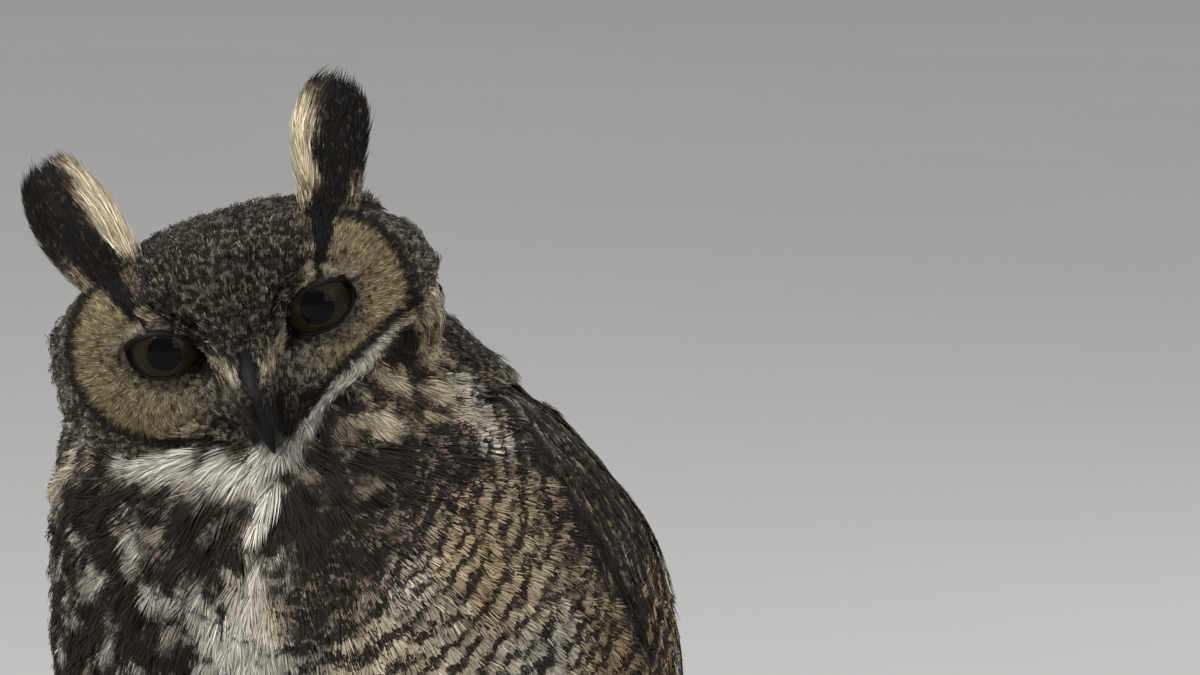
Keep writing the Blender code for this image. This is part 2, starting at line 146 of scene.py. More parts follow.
# Where the camera is from the face, how wide the view is there, and how far the middle of the view is to the
# right of the face and below it, as shares of that width.
VIEW_AZIMUTH = math.radians(25.0)
VIEW_ELEVATION = math.radians(6.0)
VIEW_WIDTH = 0.45
FACE_LEFT = 0.3
FACE_UP = 0.0046

# Points on the face in head coordinates, at the owl's left: across and up.
DISC_CENTRE = 0.0320
DISC_RADIUS = 0.0318
BROW_LINE = (
    (0.0060, -0.0140),
    (0.0140, -0.0060),
    (0.0215, 0.0040),
    (0.0280, 0.0105),
    (0.0330, 0.0165),
    (0.0365, 0.0240),
)
STREAK_LINE = ((0.0430, 0.0350), (0.0375, 0.0215), (0.0348, 0.0120))
WHISKER_LINE = ((0.0330, -0.0300), (0.0235, -0.0325), (0.0150, -0.0385), (0.0085, -0.0455))
LID_PALE = ((0.0370, 0.0122), (0.0415, 0.0108), (0.0470, 0.0080))

# The opening of the lids: degrees round from the outer side over the top, and how far from the pupil's
# middle.
LID_OPENING = (
    (0, 0.0143),
    (18, 0.0152),
    (33, 0.0122),
    (56, 0.0090),
    (90, 0.0073),
    (125, 0.0071),
    (155, 0.0088),
    (180, 0.0112),
    (203, 0.0148),
    (216, 0.0134),
    (236, 0.0108),
    (270, 0.0092),
    (310, 0.0102),
    (329, 0.0117),
    (360, 0.0143),
)

# The ear tufts in head coordinates, as if at the owl's left: three for a place along the middle, then half
# the breadth and half the thickness.
TUFTS = {
    1: (
        (0.0395, -0.0275, 0.0220, 0.0085, 0.0050),
        (0.0465, -0.0245, 0.0370, 0.0098, 0.0060),
        (0.0495, -0.0205, 0.0480, 0.0118, 0.0058),
        (0.0525, -0.0155, 0.0585, 0.0136, 0.0052),
        (0.0585, -0.0085, 0.0700, 0.0112, 0.0040),
        (0.0630, -0.0030, 0.0760, 0.0060, 0.0026),
    ),
    -1: (
        (0.0370, -0.0275, 0.0220, 0.0095, 0.0050),
        (0.0415, -0.0250, 0.0350, 0.0130, 0.0060),
        (0.0460, -0.0215, 0.0470, 0.0152, 0.0058),
        (0.0510, -0.0155, 0.0600, 0.0150, 0.0052),
        (0.0545, -0.0085, 0.0710, 0.0118, 0.0040),
        (0.0560, -0.0025, 0.0785, 0.0060, 0.0026),
    ),
}

# The upper edge of the white bib in head coordinates, across (the owl's left is +) and up, and how deep the
# bib is there.
BIB_LINE = (
    (-0.0800, -0.0460),
    (-0.0610, -0.0392),
    (-0.0460, -0.0382),
    (-0.0270, -0.0476),
    (-0.0046, -0.0525),
    (0.0085, -0.0446),
    (0.0225, -0.0320),
    (0.0408, -0.0232),
    (0.0633, -0.0116),
)
BIB_DEPTH = (0.0030, 0.0062, 0.0080, 0.0094, 0.0100, 0.0064, 0.0054, 0.0044, 0.0)

# The pale edge of the breast's right side, in the same coordinates.
BREAST_RIM = ((-0.0600, -0.0350), (-0.0753, -0.0382), (-0.0851, -0.0468), (-0.0918, -0.0604))

# How far round the body the wing's front edge shows at each height, and how far in front of the edge its
# coverts start.
WING_EDGE = (
    (0.100, 1.58),
    (0.156, 1.50),
    (0.184, 1.40),
    (0.198, 1.31),
    (0.211, 1.25),
    (0.229, 1.19),
    (0.258, 1.14),
)
WING_ROOTS = 0.16

# How high the dark breast reaches down, by how far round the body.
BREAST_EDGE = (
    (-1.40, 0.152),
    (-0.30, 0.148),
    (-0.10, 0.156),
    (0.09, 0.171),
    (0.166, 0.1865),
    (0.274, 0.198),
    (0.382, 0.2128),
    (0.541, 0.2305),
    (0.694, 0.2442),
    (0.884, 0.2560),
    (1.10, 0.2660),
)


# ---- numbers


def smooth(value, low, high):
    """0 below low and 1 above high, with a smooth rise between them."""
    t = np.clip((value - low) / (high - low), 0.0, 1.0)
    return t * t * (3.0 - 2.0 * t)


def fade(value, low, high):
    """1 below low and 0 above high, with a smooth fall between them."""
    return 1.0 - smooth(value, low, high)


def table_at(value, rows):
    """The second column of the rows at each value of their first, with straight lines between them."""
    return np.interp(value, *zip(*rows))


def vectors_of(x, y, z):
    """Vectors from their three parts, each an array or one number."""
    return np.stack(np.broadcast_arrays(x, y, z), axis=-1)


def unit(vectors):
    return vectors / np.maximum(np.linalg.norm(vectors, axis=-1, keepdims=True), 1e-12)


def tangent(vectors, normals):
    """The vectors laid flat on the surface with these normals, at length 1."""
    return unit(vectors - normals * np.sum(vectors * normals, axis=-1, keepdims=True))


def lattice(cells, seed):
    """A steady random number from 0 to 1 for each whole-numbered cell."""
    x, y, z = np.moveaxis(cells, -1, 0)
    code = x * 73856093 ^ y * 19349663 ^ z * 83492791 ^ seed * 2654435761
    code = (code ^ (code >> 13)) * 1274126177 & 0xFFFFFFFF
    return ((code ^ (code >> 16)) & 0xFFFF) / 65535.0


def cloud(points, size, seed):
    """Soft random patches from 0 to 1, about size across."""
    place = points / size
    cell = np.floor(place).astype(np.int64)
    part = place - cell
    part = part * part * (3.0 - 2.0 * part)
    total = np.zeros(points.shape[:-1])
    for corner in np.ndindex(2, 2, 2):
        share = np.prod(np.where(np.array(corner) == 1, part, 1.0 - part), axis=-1)
        total += share * lattice(cell + np.array(corner), seed)
    return total


def from_line(x, z, line):
    """How far points at (x, z) are from a broken line, and how far along it they are from 0 to 1."""
    best = np.full(x.shape, 1e9)
    along = np.zeros(x.shape)
    count = len(line) - 1
    for i in range(count):
        ax, az = line[i]
        bx, bz = line[i + 1]
        run = (bx - ax) ** 2 + (bz - az) ** 2
        t = np.clip(((x - ax) * (bx - ax) + (z - az) * (bz - az)) / run, 0.0, 1.0)
        gap = np.hypot(x - ax - t * (bx - ax), z - az - t * (bz - az))
        along = np.where(gap < best, (i + t) / count, along)
        best = np.minimum(best, gap)
    return best, along


def among(kinds, *names):
    """Whether each kind is one of those named."""
    return np.isin(kinds, [KINDS.index(name) for name in names])


def rekind(kinds, chosen, name):
    """The kinds, with the chosen ones changed to the one named."""
    return np.where(chosen, KINDS.index(name), kinds)


def read(items, key, width=1, kind=float):
    """One property of a mesh's vertices, edges, faces or corners, as an array with a row for each."""
    values = np.zeros(len(items) * width, kind)
    items.foreach_get(key, values)
    return values.reshape(-1, width) if width > 1 else values


def nearest(tree, points):
    """The place on a tree's surface that is nearest to each point, and the surface's normal there."""
    found = [tree.find_nearest(point) for point in points.tolist()]
    return np.array([hit[0] for hit in found]), np.array([hit[1] for hit in found])


# ---- the frame


def middle_of(node):
    low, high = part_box(node)
    return (Vector(low) + Vector(high)) / 2


@functools.cache
def head_frame():
    """The head's turn as a 3 by 3 array whose columns are its axes, and its origin."""
    turn = np.array(Euler((HEAD_NOD, HEAD_TILT, HEAD_TURN), "YXZ").to_matrix())
    eyes = (middle_of("eye_left") + middle_of("eye_right")) / 2
    return turn, np.array(eyes) - turn @ np.array((0.0, -EYE_DEPTH, 0.0))


def in_head(points):
    turn, origin = head_frame()
    return (points - origin) @ turn


def out_of_head(vectors):
    """Directions in head coordinates, in the owl's own."""
    return vectors @ head_frame()[0].T


def mesh_arrays(mesh):
    """A mesh's vertices and the corners of its triangles."""
    mesh.calc_loop_triangles()
    return read(mesh.vertices, "co", 3), read(mesh.loop_triangles, "vertices", 3, np.int64)


@functools.cache
def flesh_tree():
    """A search tree over the nodes of flesh, eyes and bill, and the kind that each of its triangles is of."""
    all_places, all_corners, owners = [], [], []
    start = 0
    for kind, names in (FLESH | HARD).items():
        for name in names:
            places, corners = mesh_arrays(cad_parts[name].data)
            all_places.append(places)
            all_corners.append(corners + start)
            owners += [KINDS.index(kind)] * len(corners)
            start += len(places)
    tree = BVHTree.FromPolygons(np.concatenate(all_places).tolist(), np.concatenate(all_corners).tolist())
    return tree, np.array(owners)


def kinds_of(points):
    """The kind of coat at each point, as its place in KINDS: mostly that of the nearest flesh."""
    tree, owners = flesh_tree()
    kinds = owners[[tree.find_nearest(point)[2] for point in points.tolist()]]
    # The shoulder's feathers lie over the lower edge of the face at the owl's left.
    kinds = rekind(kinds, under_face(points) & among(kinds, "head"), "neck")
    # The wing's coverts start in front of its bones, and below the lowest flight feather the flank covers it.
    kinds = rekind(kinds, among(kinds, "trunk", "neck") & on_wing(points, WING_ROOTS), "wing")
    turn = np.abs(turn_round(points))
    return rekind(kinds, among(kinds, "wing") & (points[:, 2] < lowest_path(turn)) & (turn < 2.6), "trunk")


def behind_wing_edge(points):
    """How far each point is behind the wing's front edge, in radians round the body."""
    return np.abs(turn_round(points)) - table_at(points[:, 2], WING_EDGE)


def on_wing(points, ahead):
    """Whether each point is on the folded wing's side, or this far ahead of it, with an uneven edge."""
    behind = behind_wing_edge(points) + ahead + 0.10 * (cloud(points, 0.010, 51) - 0.5)
    turn = np.abs(turn_round(points))
    top = 0.262 + 0.026 * (cloud(points, 0.018, 52) - 0.5)
    return (behind > 0.0) & (turn < 2.2) & (points[:, 2] > lowest_path(turn)) & (points[:, 2] < top)


def lowest_path(turn):
    """How high the lowest flight feather's edge is over the body, by how far round."""
    return table_at(turn, ((1.40, 0.140), (1.90, 0.096), (2.60, 0.064), (3.00, 0.046)))


def under_face(points):
    """Whether each point is below the straight edge that the left shoulder makes across the face."""
    place = in_head(points)
    edge = table_at(place[:, 0], ((-0.0046, -0.0510), (0.0633, -0.0116), (0.0900, 0.0040)))
    return (place[:, 2] < edge) & (place[:, 0] > 0.004) & (place[:, 1] < 0.020)


def link(obj):
    bpy.context.scene.collection.objects.link(obj)
    return obj


def object_from(bm, name, material):
    mesh = bpy.data.meshes.new(name)
    bm.to_mesh(mesh)
    bm.free()
    mesh.shade_smooth()
    mesh.materials.append(material)
    return link(bpy.data.objects.new(name, mesh))


# ---- markings


def turn_round(points):
    """How far round the body each point is from its front, towards the owl's left, in radians."""
    return np.arctan2(points[:, 0] - BODY_AXIS[0], BODY_AXIS[1] - points[:, 1])


def breast_distance(points):
    """How far points are from the top of the breast over the body's surface, as the bars count it."""
    across = BODY_RADIUS * (turn_round(points) - 0.08)
    down = BREAST_TOP - points[:, 2]
    return np.hypot(across, np.maximum(down, 0.02))


WHITE = np.array((0.80, 0.76, 0.66))
CREAM = np.array((0.70, 0.60, 0.42))
BUFF = np.array((0.50, 0.36, 0.19))
TAN = np.array((0.56, 0.45, 0.27))
TAWNY = np.array((0.325, 0.262, 0.143))
GREY = np.array((0.30, 0.27, 0.22))
BROWN = np.array((0.085, 0.060, 0.042))
UMBER = np.array((0.045, 0.033, 0.026))
SOOT = np.array((0.014, 0.012, 0.011))
RUST = np.array((0.44, 0.29, 0.14))


def plain(count, **values):
    """The same marks for each of so many points."""
    return {key: np.full((count, *np.shape(value)), value, float) for key, value in values.items()}


def lay(marks, share, **values):
    """Moves the marks towards new values by a share from 0 to 1 at each point, or one share for all."""
    share = np.broadcast_to(share, marks["base"].shape)
    for key, value in values.items():
        old = marks[key]
        marks[key] = old + (np.asarray(value) - old) * (share if old.ndim == 1 else share[:, None])


def mark_body(points, marks):
    turn = turn_round(points)
    around = np.abs(turn)
    height = points[:, 2]
    front = fade(around, 1.45, 1.85)
    # Belly and flanks: buff and white, with dark wavy bars that are broadest next to the breast.
    edge = table_at(turn, BREAST_EDGE)
    near = fade(edge - height + 0.014 * (cloud(points, 0.020, 9) - 0.5), 0.024, 0.046)
    lay(marks, front, pale=CREAM * 0.94, dark=UMBER * 0.95, base=0.43, bars=1.05, mottle=0.45, broad=0.6)
    lay(marks, front * smooth(cloud(points, 0.024, 3), 0.45, 0.75) * 0.8, pale=WHITE * 0.80)
    lay(marks, front * smooth(cloud(points, 0.040, 8), 0.50, 0.75) * 0.8, pale=TAN)
    lay(marks, front * near, pale=(0.25, 0.205, 0.150), dark=UMBER * 0.62, base=0.88, bars=0.42, mottle=0.95)
    middle = smooth(turn, 0.08, 0.18) * fade(turn, 0.45, 0.80) * (1.0 - near)
    lay(marks, front * middle * 0.8, base=0.56, mottle=0.70)
    # A rusty patch where the breast meets the flank.
    rusty = np.exp(-(((turn - 0.86) * 0.115 / 0.022) ** 2) - ((height - 0.200) / 0.026) ** 2)
    lay(marks, rusty * 0.7, pale=RUST)
    # Painted shadow: the flank is darker where it goes under the wing's edge.
    wing_edge_shadow = smooth(behind_wing_edge(points), -0.30, -0.12) * front
    lay(marks, wing_edge_shadow * 0.75, pale=BUFF * 0.62, dark=UMBER * 0.8, base=0.66, mottle=0.85)
    mark_shoulder_line(points, marks)
    # The upper breast: dark brown with buff and white spots.
    edge = edge + 0.020 * (cloud(points, 0.016, 5) - 0.5)
    breast = front * smooth(height, edge - 0.009, edge + 0.007)
    lay(marks, breast, pale=(0.24, 0.195, 0.140), dark=UMBER * 0.55, base=0.93, bars=0.10)
    lay(marks, breast, mottle=0.80, broad=1.0)
    spotted = smooth(cloud(points * np.array((1.0, 1.0, 0.60)), 0.0080, 14), 0.52, 0.74)
    lay(marks, breast * spotted * (0.40 + 0.60 * fade(turn, -0.1, 0.3)), base=0.40, mottle=0.9)
    lay(marks, breast * spotted * fade(turn, -0.1, 0.3), pale=WHITE * 0.60)
    # A paler column below the white stem.
    wander = 0.030 + 0.06 * (cloud(points, 0.020, 15) - 0.5)
    spread = table_at(height, ((0.14, 0.22), (0.17, 0.16), (0.21, 0.07)))
    column = np.exp(-(((turn - wander) / spread) ** 2)) * fade(height, 0.196, 0.212)
    lay(marks, column * front * 0.95, pale=WHITE * 0.92, base=0.06, bars=0.35, mottle=0.75)
    lay(marks, column * front * smooth(cloud(points, 0.018, 16), 0.50, 0.75) * 0.6, pale=BUFF * 1.1)
    # The white stem below the bib.
    stem_x = table_at(height, ((0.2007, 0.0050), (0.2116, 0.0038), (0.2223, 0.0019), (0.2328, -0.0009)))
    stem_width = table_at(height, ((0.195, 0.0014), (0.215, 0.0021), (0.232, 0.0030), (0.240, 0.0044)))
    stem_width = stem_width + 0.0022 * (cloud(points, 0.007, 18) - 0.5)
    stem = fade(np.abs(points[:, 0] - stem_x), stem_width, stem_width + 0.0016)
    stem *= smooth(height, 0.190, 0.200) * fade(height, 0.245, 0.255) * front
    lay(marks, stem, pale=WHITE, dark=GREY, base=-0.2, bars=0.0, mottle=0.1)
    # The vent is paler, with few bars.
    lay(marks, smooth(-height, -0.085, -0.060) * front, pale=WHITE * 0.80, bars=0.5, base=0.30)
    # The back: dark brown, mottled buff and grey.
    back = 1.0 - front
    lay(marks, back, pale=BUFF * 0.66, dark=UMBER * 0.85, base=0.70, bars=0.30, mottle=0.95, broad=0.45)
    lay(marks, back * smooth(cloud(points, 0.010, 11), 0.55, 0.80), pale=GREY * 0.95, base=0.56)


def mark_shoulder_line(points, marks):
    """Whitish feathers in front of the wing's upper edge."""
    turn, height = turn_round(points), points[:, 2]
    line = np.exp(-(((turn - 1.03 + 0.10 * (cloud(points, 0.010, 61) - 0.5)) / 0.060) ** 2))
    line *= smooth(height, 0.226, 0.240) * fade(height, 0.262, 0.270)
    line = 0.85 * line * smooth(cloud(points, 0.0070, 62), 0.30, 0.60)
    lay(marks, line, pale=WHITE * 0.82, dark=UMBER, base=0.18, bars=0.7)


def mark_neck(points, marks):
    turn = turn_round(points)
    height = points[:, 2]
    front = fade(np.abs(turn - 0.20), 0.9, 1.4)
    side = smooth(cloud(points, 0.018, 21), 0.35, 0.70)
    lay(marks, 1.0 - front, pale=BUFF * 0.72, dark=UMBER * 0.8, base=0.66, bars=0.25, mottle=1.0, broad=0.4)
    lay(marks, (1.0 - front) * side * 0.6, pale=GREY * 1.2)
    # The left shoulder: large dark, buff and rusty patches.
    shoulder = smooth(turn, 0.34, 0.52) * fade(turn, 1.00, 1.30) * smooth(height, 0.236, 0.250)
    patches = smooth(cloud(points * np.array((1.0, 1.0, 1.9)), 0.0125, 23), 0.38, 0.60)
    lay(marks, shoulder, pale=(0.34, 0.26, 0.165), dark=UMBER * 0.70, base=0.74, bars=0.10)
    lay(marks, shoulder, mottle=0.95, broad=0.8)
    lay(marks, shoulder * patches, pale=CREAM * 0.86, base=0.24, mottle=1.0)
    lay(marks, shoulder * patches * smooth(cloud(points, 0.015, 24), 0.5, 0.7), pale=CREAM * 0.95)
    behind = smooth(turn, 1.00, 1.30) * fade(turn, 2.0, 2.4)
    lay(marks, behind, pale=(0.30, 0.25, 0.180), dark=UMBER * 0.62, base=0.74, bars=0.05)
    lay(marks, behind, mottle=0.9, broad=0.2)
    mark_shoulder_line(points, marks)
    right = smooth(-turn, 0.5, 0.9) * fade(-turn, 1.6, 2.0)
    lay(marks, right, pale=GREY * 1.4, dark=BROWN * 0.8, base=0.58, bars=0.1, mottle=0.8, broad=0.3)


def mark_bib(points, marks):
    """The white band just under the face, with an uneven lower edge."""
    place = in_head(points)
    across, up = place[:, 0], place[:, 2]
    far, _ = from_line(across, up, BIB_LINE)
    top = table_at(across, BIB_LINE)
    depth = np.interp(across, [row[0] for row in BIB_LINE], BIB_DEPTH)
    depth = depth * (1.0 + 0.9 * (cloud(points, 0.0060, 17) - 0.5))
    below = np.where(up < top, far, -far)
    bib = smooth(below, -0.0012, 0.0004) * fade(below, depth - 0.0012, depth + 0.0008)
    bib *= smooth(across, -0.064, -0.052) * fade(across, 0.052, 0.062)
    bib *= fade(place[:, 1], 0.000, 0.016)
    lay(marks, bib, pale=WHITE * 0.92, dark=GREY, base=-0.25, bars=0.0, mottle=0.05)
    edge, _ = from_line(across, up, BREAST_RIM)
    edge = fade(edge, 0.0012, 0.0036) * fade(place[:, 1], 0.030, 0.050)
    lay(marks, edge * smooth(cloud(points, 0.0070, 63), 0.20, 0.45), pale=CREAM * 0.80, base=0.20, mottle=0.7)
    # The dark edge of the face along the shoulder.
    rim = fade(np.abs(below + 0.0022), 0.0010, 0.0022) * smooth(across, 0.000, 0.010)
    rim *= fade(place[:, 1], 0.000, 0.016)
    lay(marks, rim, pale=UMBER, dark=SOOT, base=0.95, bars=0.0, mottle=0.15)


def mark_head(points, marks):
    """Face and crown, in head coordinates."""
    place = in_head(points)
    side, back, up = np.abs(place[:, 0]), place[:, 1], place[:, 2]
    from_eye = np.hypot(side - DISC_CENTRE, up)
    frontal = fade(back, 0.004, 0.016)
    brow, _ = from_line(side, up, BROW_LINE)
    crown = smooth(up - brow_height(side), -0.001, 0.002)
    # Crown and nape: dark brown, finely specked.
    lay(marks, 1.0, pale=(0.175, 0.150, 0.112), dark=UMBER * 0.50, base=0.72, bars=0.0)
    lay(marks, 1.0, mottle=0.95, broad=0.0)
    lay(marks, smooth(back, 0.010, 0.035), pale=BUFF * 0.66, dark=UMBER * 0.8, base=0.68, bars=0.2)
    # Outside the discs: grey and buff, mottled.
    ruff = smooth(from_eye, DISC_RADIUS + 0.001, DISC_RADIUS + 0.004) * smooth(side, 0.030, 0.044)
    ruff *= fade(up, 0.026, 0.036) * fade(back, 0.002, 0.024)
    lay(marks, ruff, pale=GREY * 1.05, dark=BROWN * 0.6, base=0.62, bars=0.0, mottle=0.9, broad=0.15)
    # The discs: tawny, darker and greyer towards the eye and the bill.
    disc = fade(from_eye, DISC_RADIUS - 0.0010, DISC_RADIUS + 0.0010) * frontal
    disc *= 1.0 - crown * fade(side, 0.030, 0.036)
    lay(marks, disc, pale=TAWNY, dark=BROWN * 1.1, base=0.36, bars=0.0, mottle=0.50, broad=0.0)
    lay(marks, disc * smooth(from_eye, 0.019, 0.028) * smooth(side, 0.030, 0.042), base=0.26)
    lay(marks, disc * smooth(-up, 0.008, 0.026) * 0.8, pale=TAWNY * 0.78)
    inner = disc * fade(side, 0.018, 0.034) * fade(up, 0.000, 0.010)
    lay(marks, inner * 0.85, pale=GREY * 0.72, dark=UMBER * 0.8, base=0.52, mottle=0.9)
    round_eye = disc * fade(from_eye, 0.0135, 0.0205)
    lay(marks, round_eye * 0.7, pale=GREY * 0.62, dark=UMBER * 0.8, base=0.52)
    # Near-black at the eye's inner corner towards the bill: dark feathers with painted shade.
    lore = disc * fade(np.hypot((side - 0.0150) / 1.3, (up + 0.0060) / 1.0), 0.0050, 0.0090)
    lay(marks, lore, pale=UMBER * 0.8, dark=SOOT, base=0.85, mottle=0.2)
    # The black line round the disc.
    rim = fade(np.abs(from_eye - DISC_RADIUS - 0.0008), 0.0008, 0.0019)
    low = smooth(-up, 0.0, 0.020)
    rim *= smooth(side, 0.040 - 0.026 * low, 0.048 - 0.026 * low) * fade(up, 0.026, 0.034) * frontal
    rim = rim * (0.70 + 0.30 * cloud(points, 0.006, 27))
    lay(marks, rim, pale=UMBER * 0.8, dark=SOOT, base=0.95, mottle=0.25)
    # Under and beside the bill: dark bristly feathers, darkened further with painted shade.
    chin = smooth(-up, 0.034, 0.040) * fade(side, 0.024, 0.044) * frontal
    lay(marks, chin, pale=BROWN, dark=SOOT, base=0.80, mottle=0.4)
    throat = fade(side, 0.0060, 0.0120) * smooth(-up, 0.017, 0.028) * frontal
    lay(marks, throat * 0.85, pale=BROWN * 0.8, dark=SOOT, base=0.85, mottle=0.4)
    # The pale V from the bill to the tufts, the dark streak under each tuft, and the pale upper lid.
    vee = fade(brow, 0.0015, 0.0032) * frontal
    lay(marks, vee * 0.95, pale=CREAM * 0.74, dark=BROWN, base=0.04, mottle=0.55, broad=0.0)
    gap, _ = from_line(side, up, WHISKER_LINE)
    whiskers = fade(gap, 0.0012, 0.0032) * frontal
    lay(marks, whiskers * 0.85, pale=CREAM * 0.62, dark=UMBER, base=0.34, mottle=0.95, broad=0.0)
    gap, along = from_line(side, up, STREAK_LINE)
    streak = fade(gap, 0.0046 - 0.0030 * along, 0.0066 - 0.0036 * along)
    lay(marks, streak * frontal, pale=UMBER, dark=SOOT, base=0.92, mottle=0.25)
    gap, _ = from_line(side, up, LID_PALE)
    lay(marks, fade(gap, 0.0014, 0.0034) * frontal, pale=CREAM * 0.62, dark=BROWN, base=0.15, mottle=0.4)


def brow_height(side):
    """How high the pale V is at each distance from the middle of the face."""
    return table_at(side, BROW_LINE)


def mark_tufts(points, marks):
    """Black-brown, with a cream edge on the side towards the crown and a cream patch at the outer base."""
    place = in_head(points)
    side, up = np.abs(place[:, 0]), place[:, 2]
    middle, half = np.zeros(len(points)), np.ones(len(points))
    for sign, table in TUFTS.items():
        rows = np.array(table)
        own = np.sign(place[:, 0]) == sign
        middle = np.where(own, np.interp(up, rows[:, 2], rows[:, 0]), middle)
        half = np.where(own, np.interp(up, rows[:, 2], rows[:, 3]), half)
    across = (side - middle) / half
    lay(marks, 1.0, pale=BROWN * 1.1, dark=SOOT * 0.75, base=0.88, bars=0.0, mottle=0.6, broad=0.0)
    left = smooth(place[:, 0], -0.01, 0.01)
    edge = -0.50 - 0.35 * smooth(up, 0.062, 0.074) - 0.35 * left * fade(up, 0.036, 0.050)
    edge = edge + 0.35 * (cloud(points, 0.004, 29) - 0.5)
    cream = fade(across, edge - 0.10, edge + 0.08) * smooth(up, 0.032, 0.040)
    cream *= 1.0 - smooth(up, 0.071, 0.077) * (0.6 + 0.4 * left)
    lay(marks, cream, pale=CREAM * 0.95, dark=BUFF * 0.5, base=0.12, mottle=0.45)
    foot = smooth(across, 0.50, 0.80) * fade(up, 0.036, 0.044)
    lay(marks, foot * 0.8, pale=CREAM * 0.60, dark=BROWN, base=0.35, mottle=0.6)


def mark_wing(points, marks):
    """Dark brown with fine grey and buff streaks, and painted shadow darkest along its front edge."""
    lay(marks, 1.0, pale=BUFF * 0.64, dark=UMBER * 0.58, base=0.66, bars=0.90, mottle=0.55, broad=0.1)
    spots = smooth(cloud(points, 0.011, 31), 0.50, 0.75)
    lay(marks, spots, pale=GREY * 1.15)
    behind = behind_wing_edge(points)
    # Painted shadow along the wing's front edge.
    front = fade(behind, 0.04, 0.12)
    lay(marks, front, dark=SOOT * 1.5, base=0.98, bars=0.15, mottle=0.35)
    pale = smooth(behind, 0.06, 0.13) * fade(behind, 0.26, 0.44) * smooth(points[:, 2], 0.17, 0.21)
    lay(marks, pale * smooth(cloud(points, 0.0065, 33), 0.45, 0.70), pale=WHITE * 0.55, base=0.42)


def mark_tail(points, marks):
    lay(marks, 1.0, pale=BUFF * 0.85, dark=UMBER, base=0.50, bars=0.95, mottle=0.45, broad=0.0)


def mark_leg(points, marks):
    lay(marks, 1.0, pale=CREAM * 0.80, dark=BROWN * 1.3, base=0.20, bars=0.10, mottle=0.6, broad=0.2)


def paint_some(points, marks, chosen, painter):
    """Runs one painter on the chosen points only."""
    if chosen.any():
        picked = {key: value[chosen] for key, value in marks.items()}
        painter(points[chosen], picked)
        for key, value in picked.items():
            marks[key][chosen] = value


def markings(points, kinds):
    """The marks at each point: a pale and a dark colour, and how dark, barred, mottled and broad they are."""
    marks = plain(len(points), pale=BUFF, dark=UMBER, base=0.6, bars=0.3, mottle=0.8, broad=0.5)
    mark_body(points, marks)
    kinds = rekind(kinds, under_face(points) & among(kinds, "head"), "neck")
    # Flank feathers that reach over the wing's edge take the wing's marks and its painted shadow there, and
    # coverts in front of it are barred.
    covered = on_wing(points, 0.0)
    kinds = rekind(kinds, among(kinds, "neck", "trunk") & covered, "wing")
    kinds = rekind(kinds, among(kinds, "wing") & (behind_wing_edge(points) < 0.0) & ~covered, "trunk")
    for painter, names in (
        (mark_wing, ("wing", "primary")),
        (mark_tail, ("tail",)),
        (mark_leg, ("leg", "foot")),
        (mark_neck, ("neck",)),
        (mark_head, ("head", "eye", "bill")),
        (mark_tufts, ("tuft",)),
    ):
        paint_some(points, marks, among(kinds, *names), painter)
    near = np.linalg.norm(points - head_frame()[1], axis=1) < 0.12
    paint_some(points, marks, near & among(kinds, "neck", "trunk", "head"), mark_bib)
    return marks


def bar_phase(points, kinds, spacing):
    """Counts the bars that a point is past, along the lie of the coat."""
    phase = breast_distance(points) / spacing
    phase = phase + 1.5 * (cloud(points, 0.017, 41) - 0.5) + 0.7 * (cloud(points, 0.006, 42) - 0.5)
    # On wings and tail the bars run across the long feathers.
    along = 0.72 * points[:, 1] - 0.70 * points[:, 2]
    return np.where(among(kinds, "wing", "primary", "tail"), along / (spacing * 1.5), phase)


# ---- the lie of the coat


@functools.cache
def wing_tip(side):
    """Where the feathers of a folded wing run together."""
    low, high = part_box("wing_left" if side > 0 else "wing_right")
    return np.array((side * 0.030, high[1], low[2]))


def lie(points, normals, kinds):
    """The way the feathers point at each place, flat on the surface."""
    turn = turn_round(points)
    side = np.sign(points[:, 0] + 1e-9)
    down = np.array((0.0, 0.0, -1.0))
    round_body = vectors_of(np.cos(turn), np.sin(turn), 0.0)
    drop = np.maximum(0.030, 0.262 - points[:, 2])
    front = unit(round_body * (BODY_RADIUS * (turn - 0.06))[:, None] + down * drop[:, None])
    share = smooth(np.abs(turn), 1.45, 2.1)[:, None]
    body = front * (1.0 - share) + unit(np.array((0.0, 0.35, -1.0))) * share
    tips = np.where(side[:, None] > 0, wing_tip(1.0), wing_tip(-1.0))
    steep = (0.10 + 0.75 * smooth(points[:, 2], 0.08, 0.24))[:, None]
    ankles = np.array(middle_of("leg_left"))
    outward = points - vectors_of(side * abs(ankles[0]), ankles[1], points[:, 2])
    way = body
    for kind, own in (
        ("neck", unit(body + down * 0.5)),
        ("wing", unit(tips - points) * (1.0 - steep) + down * steep),
        ("primary", vectors_of(-0.28 * side, 0.86, -0.50)),
        ("tail", np.array((0.0, 0.86, -0.42))),
        ("leg", np.array((0.0, -0.10, -1.0))),
        ("foot", unit(outward) + down * 0.35),
        ("head", head_lie(points)),
        ("tuft", tuft_lie(points)),
    ):
        way = np.where(among(kinds, kind)[:, None], own, way)
    return tangent(way, normals)


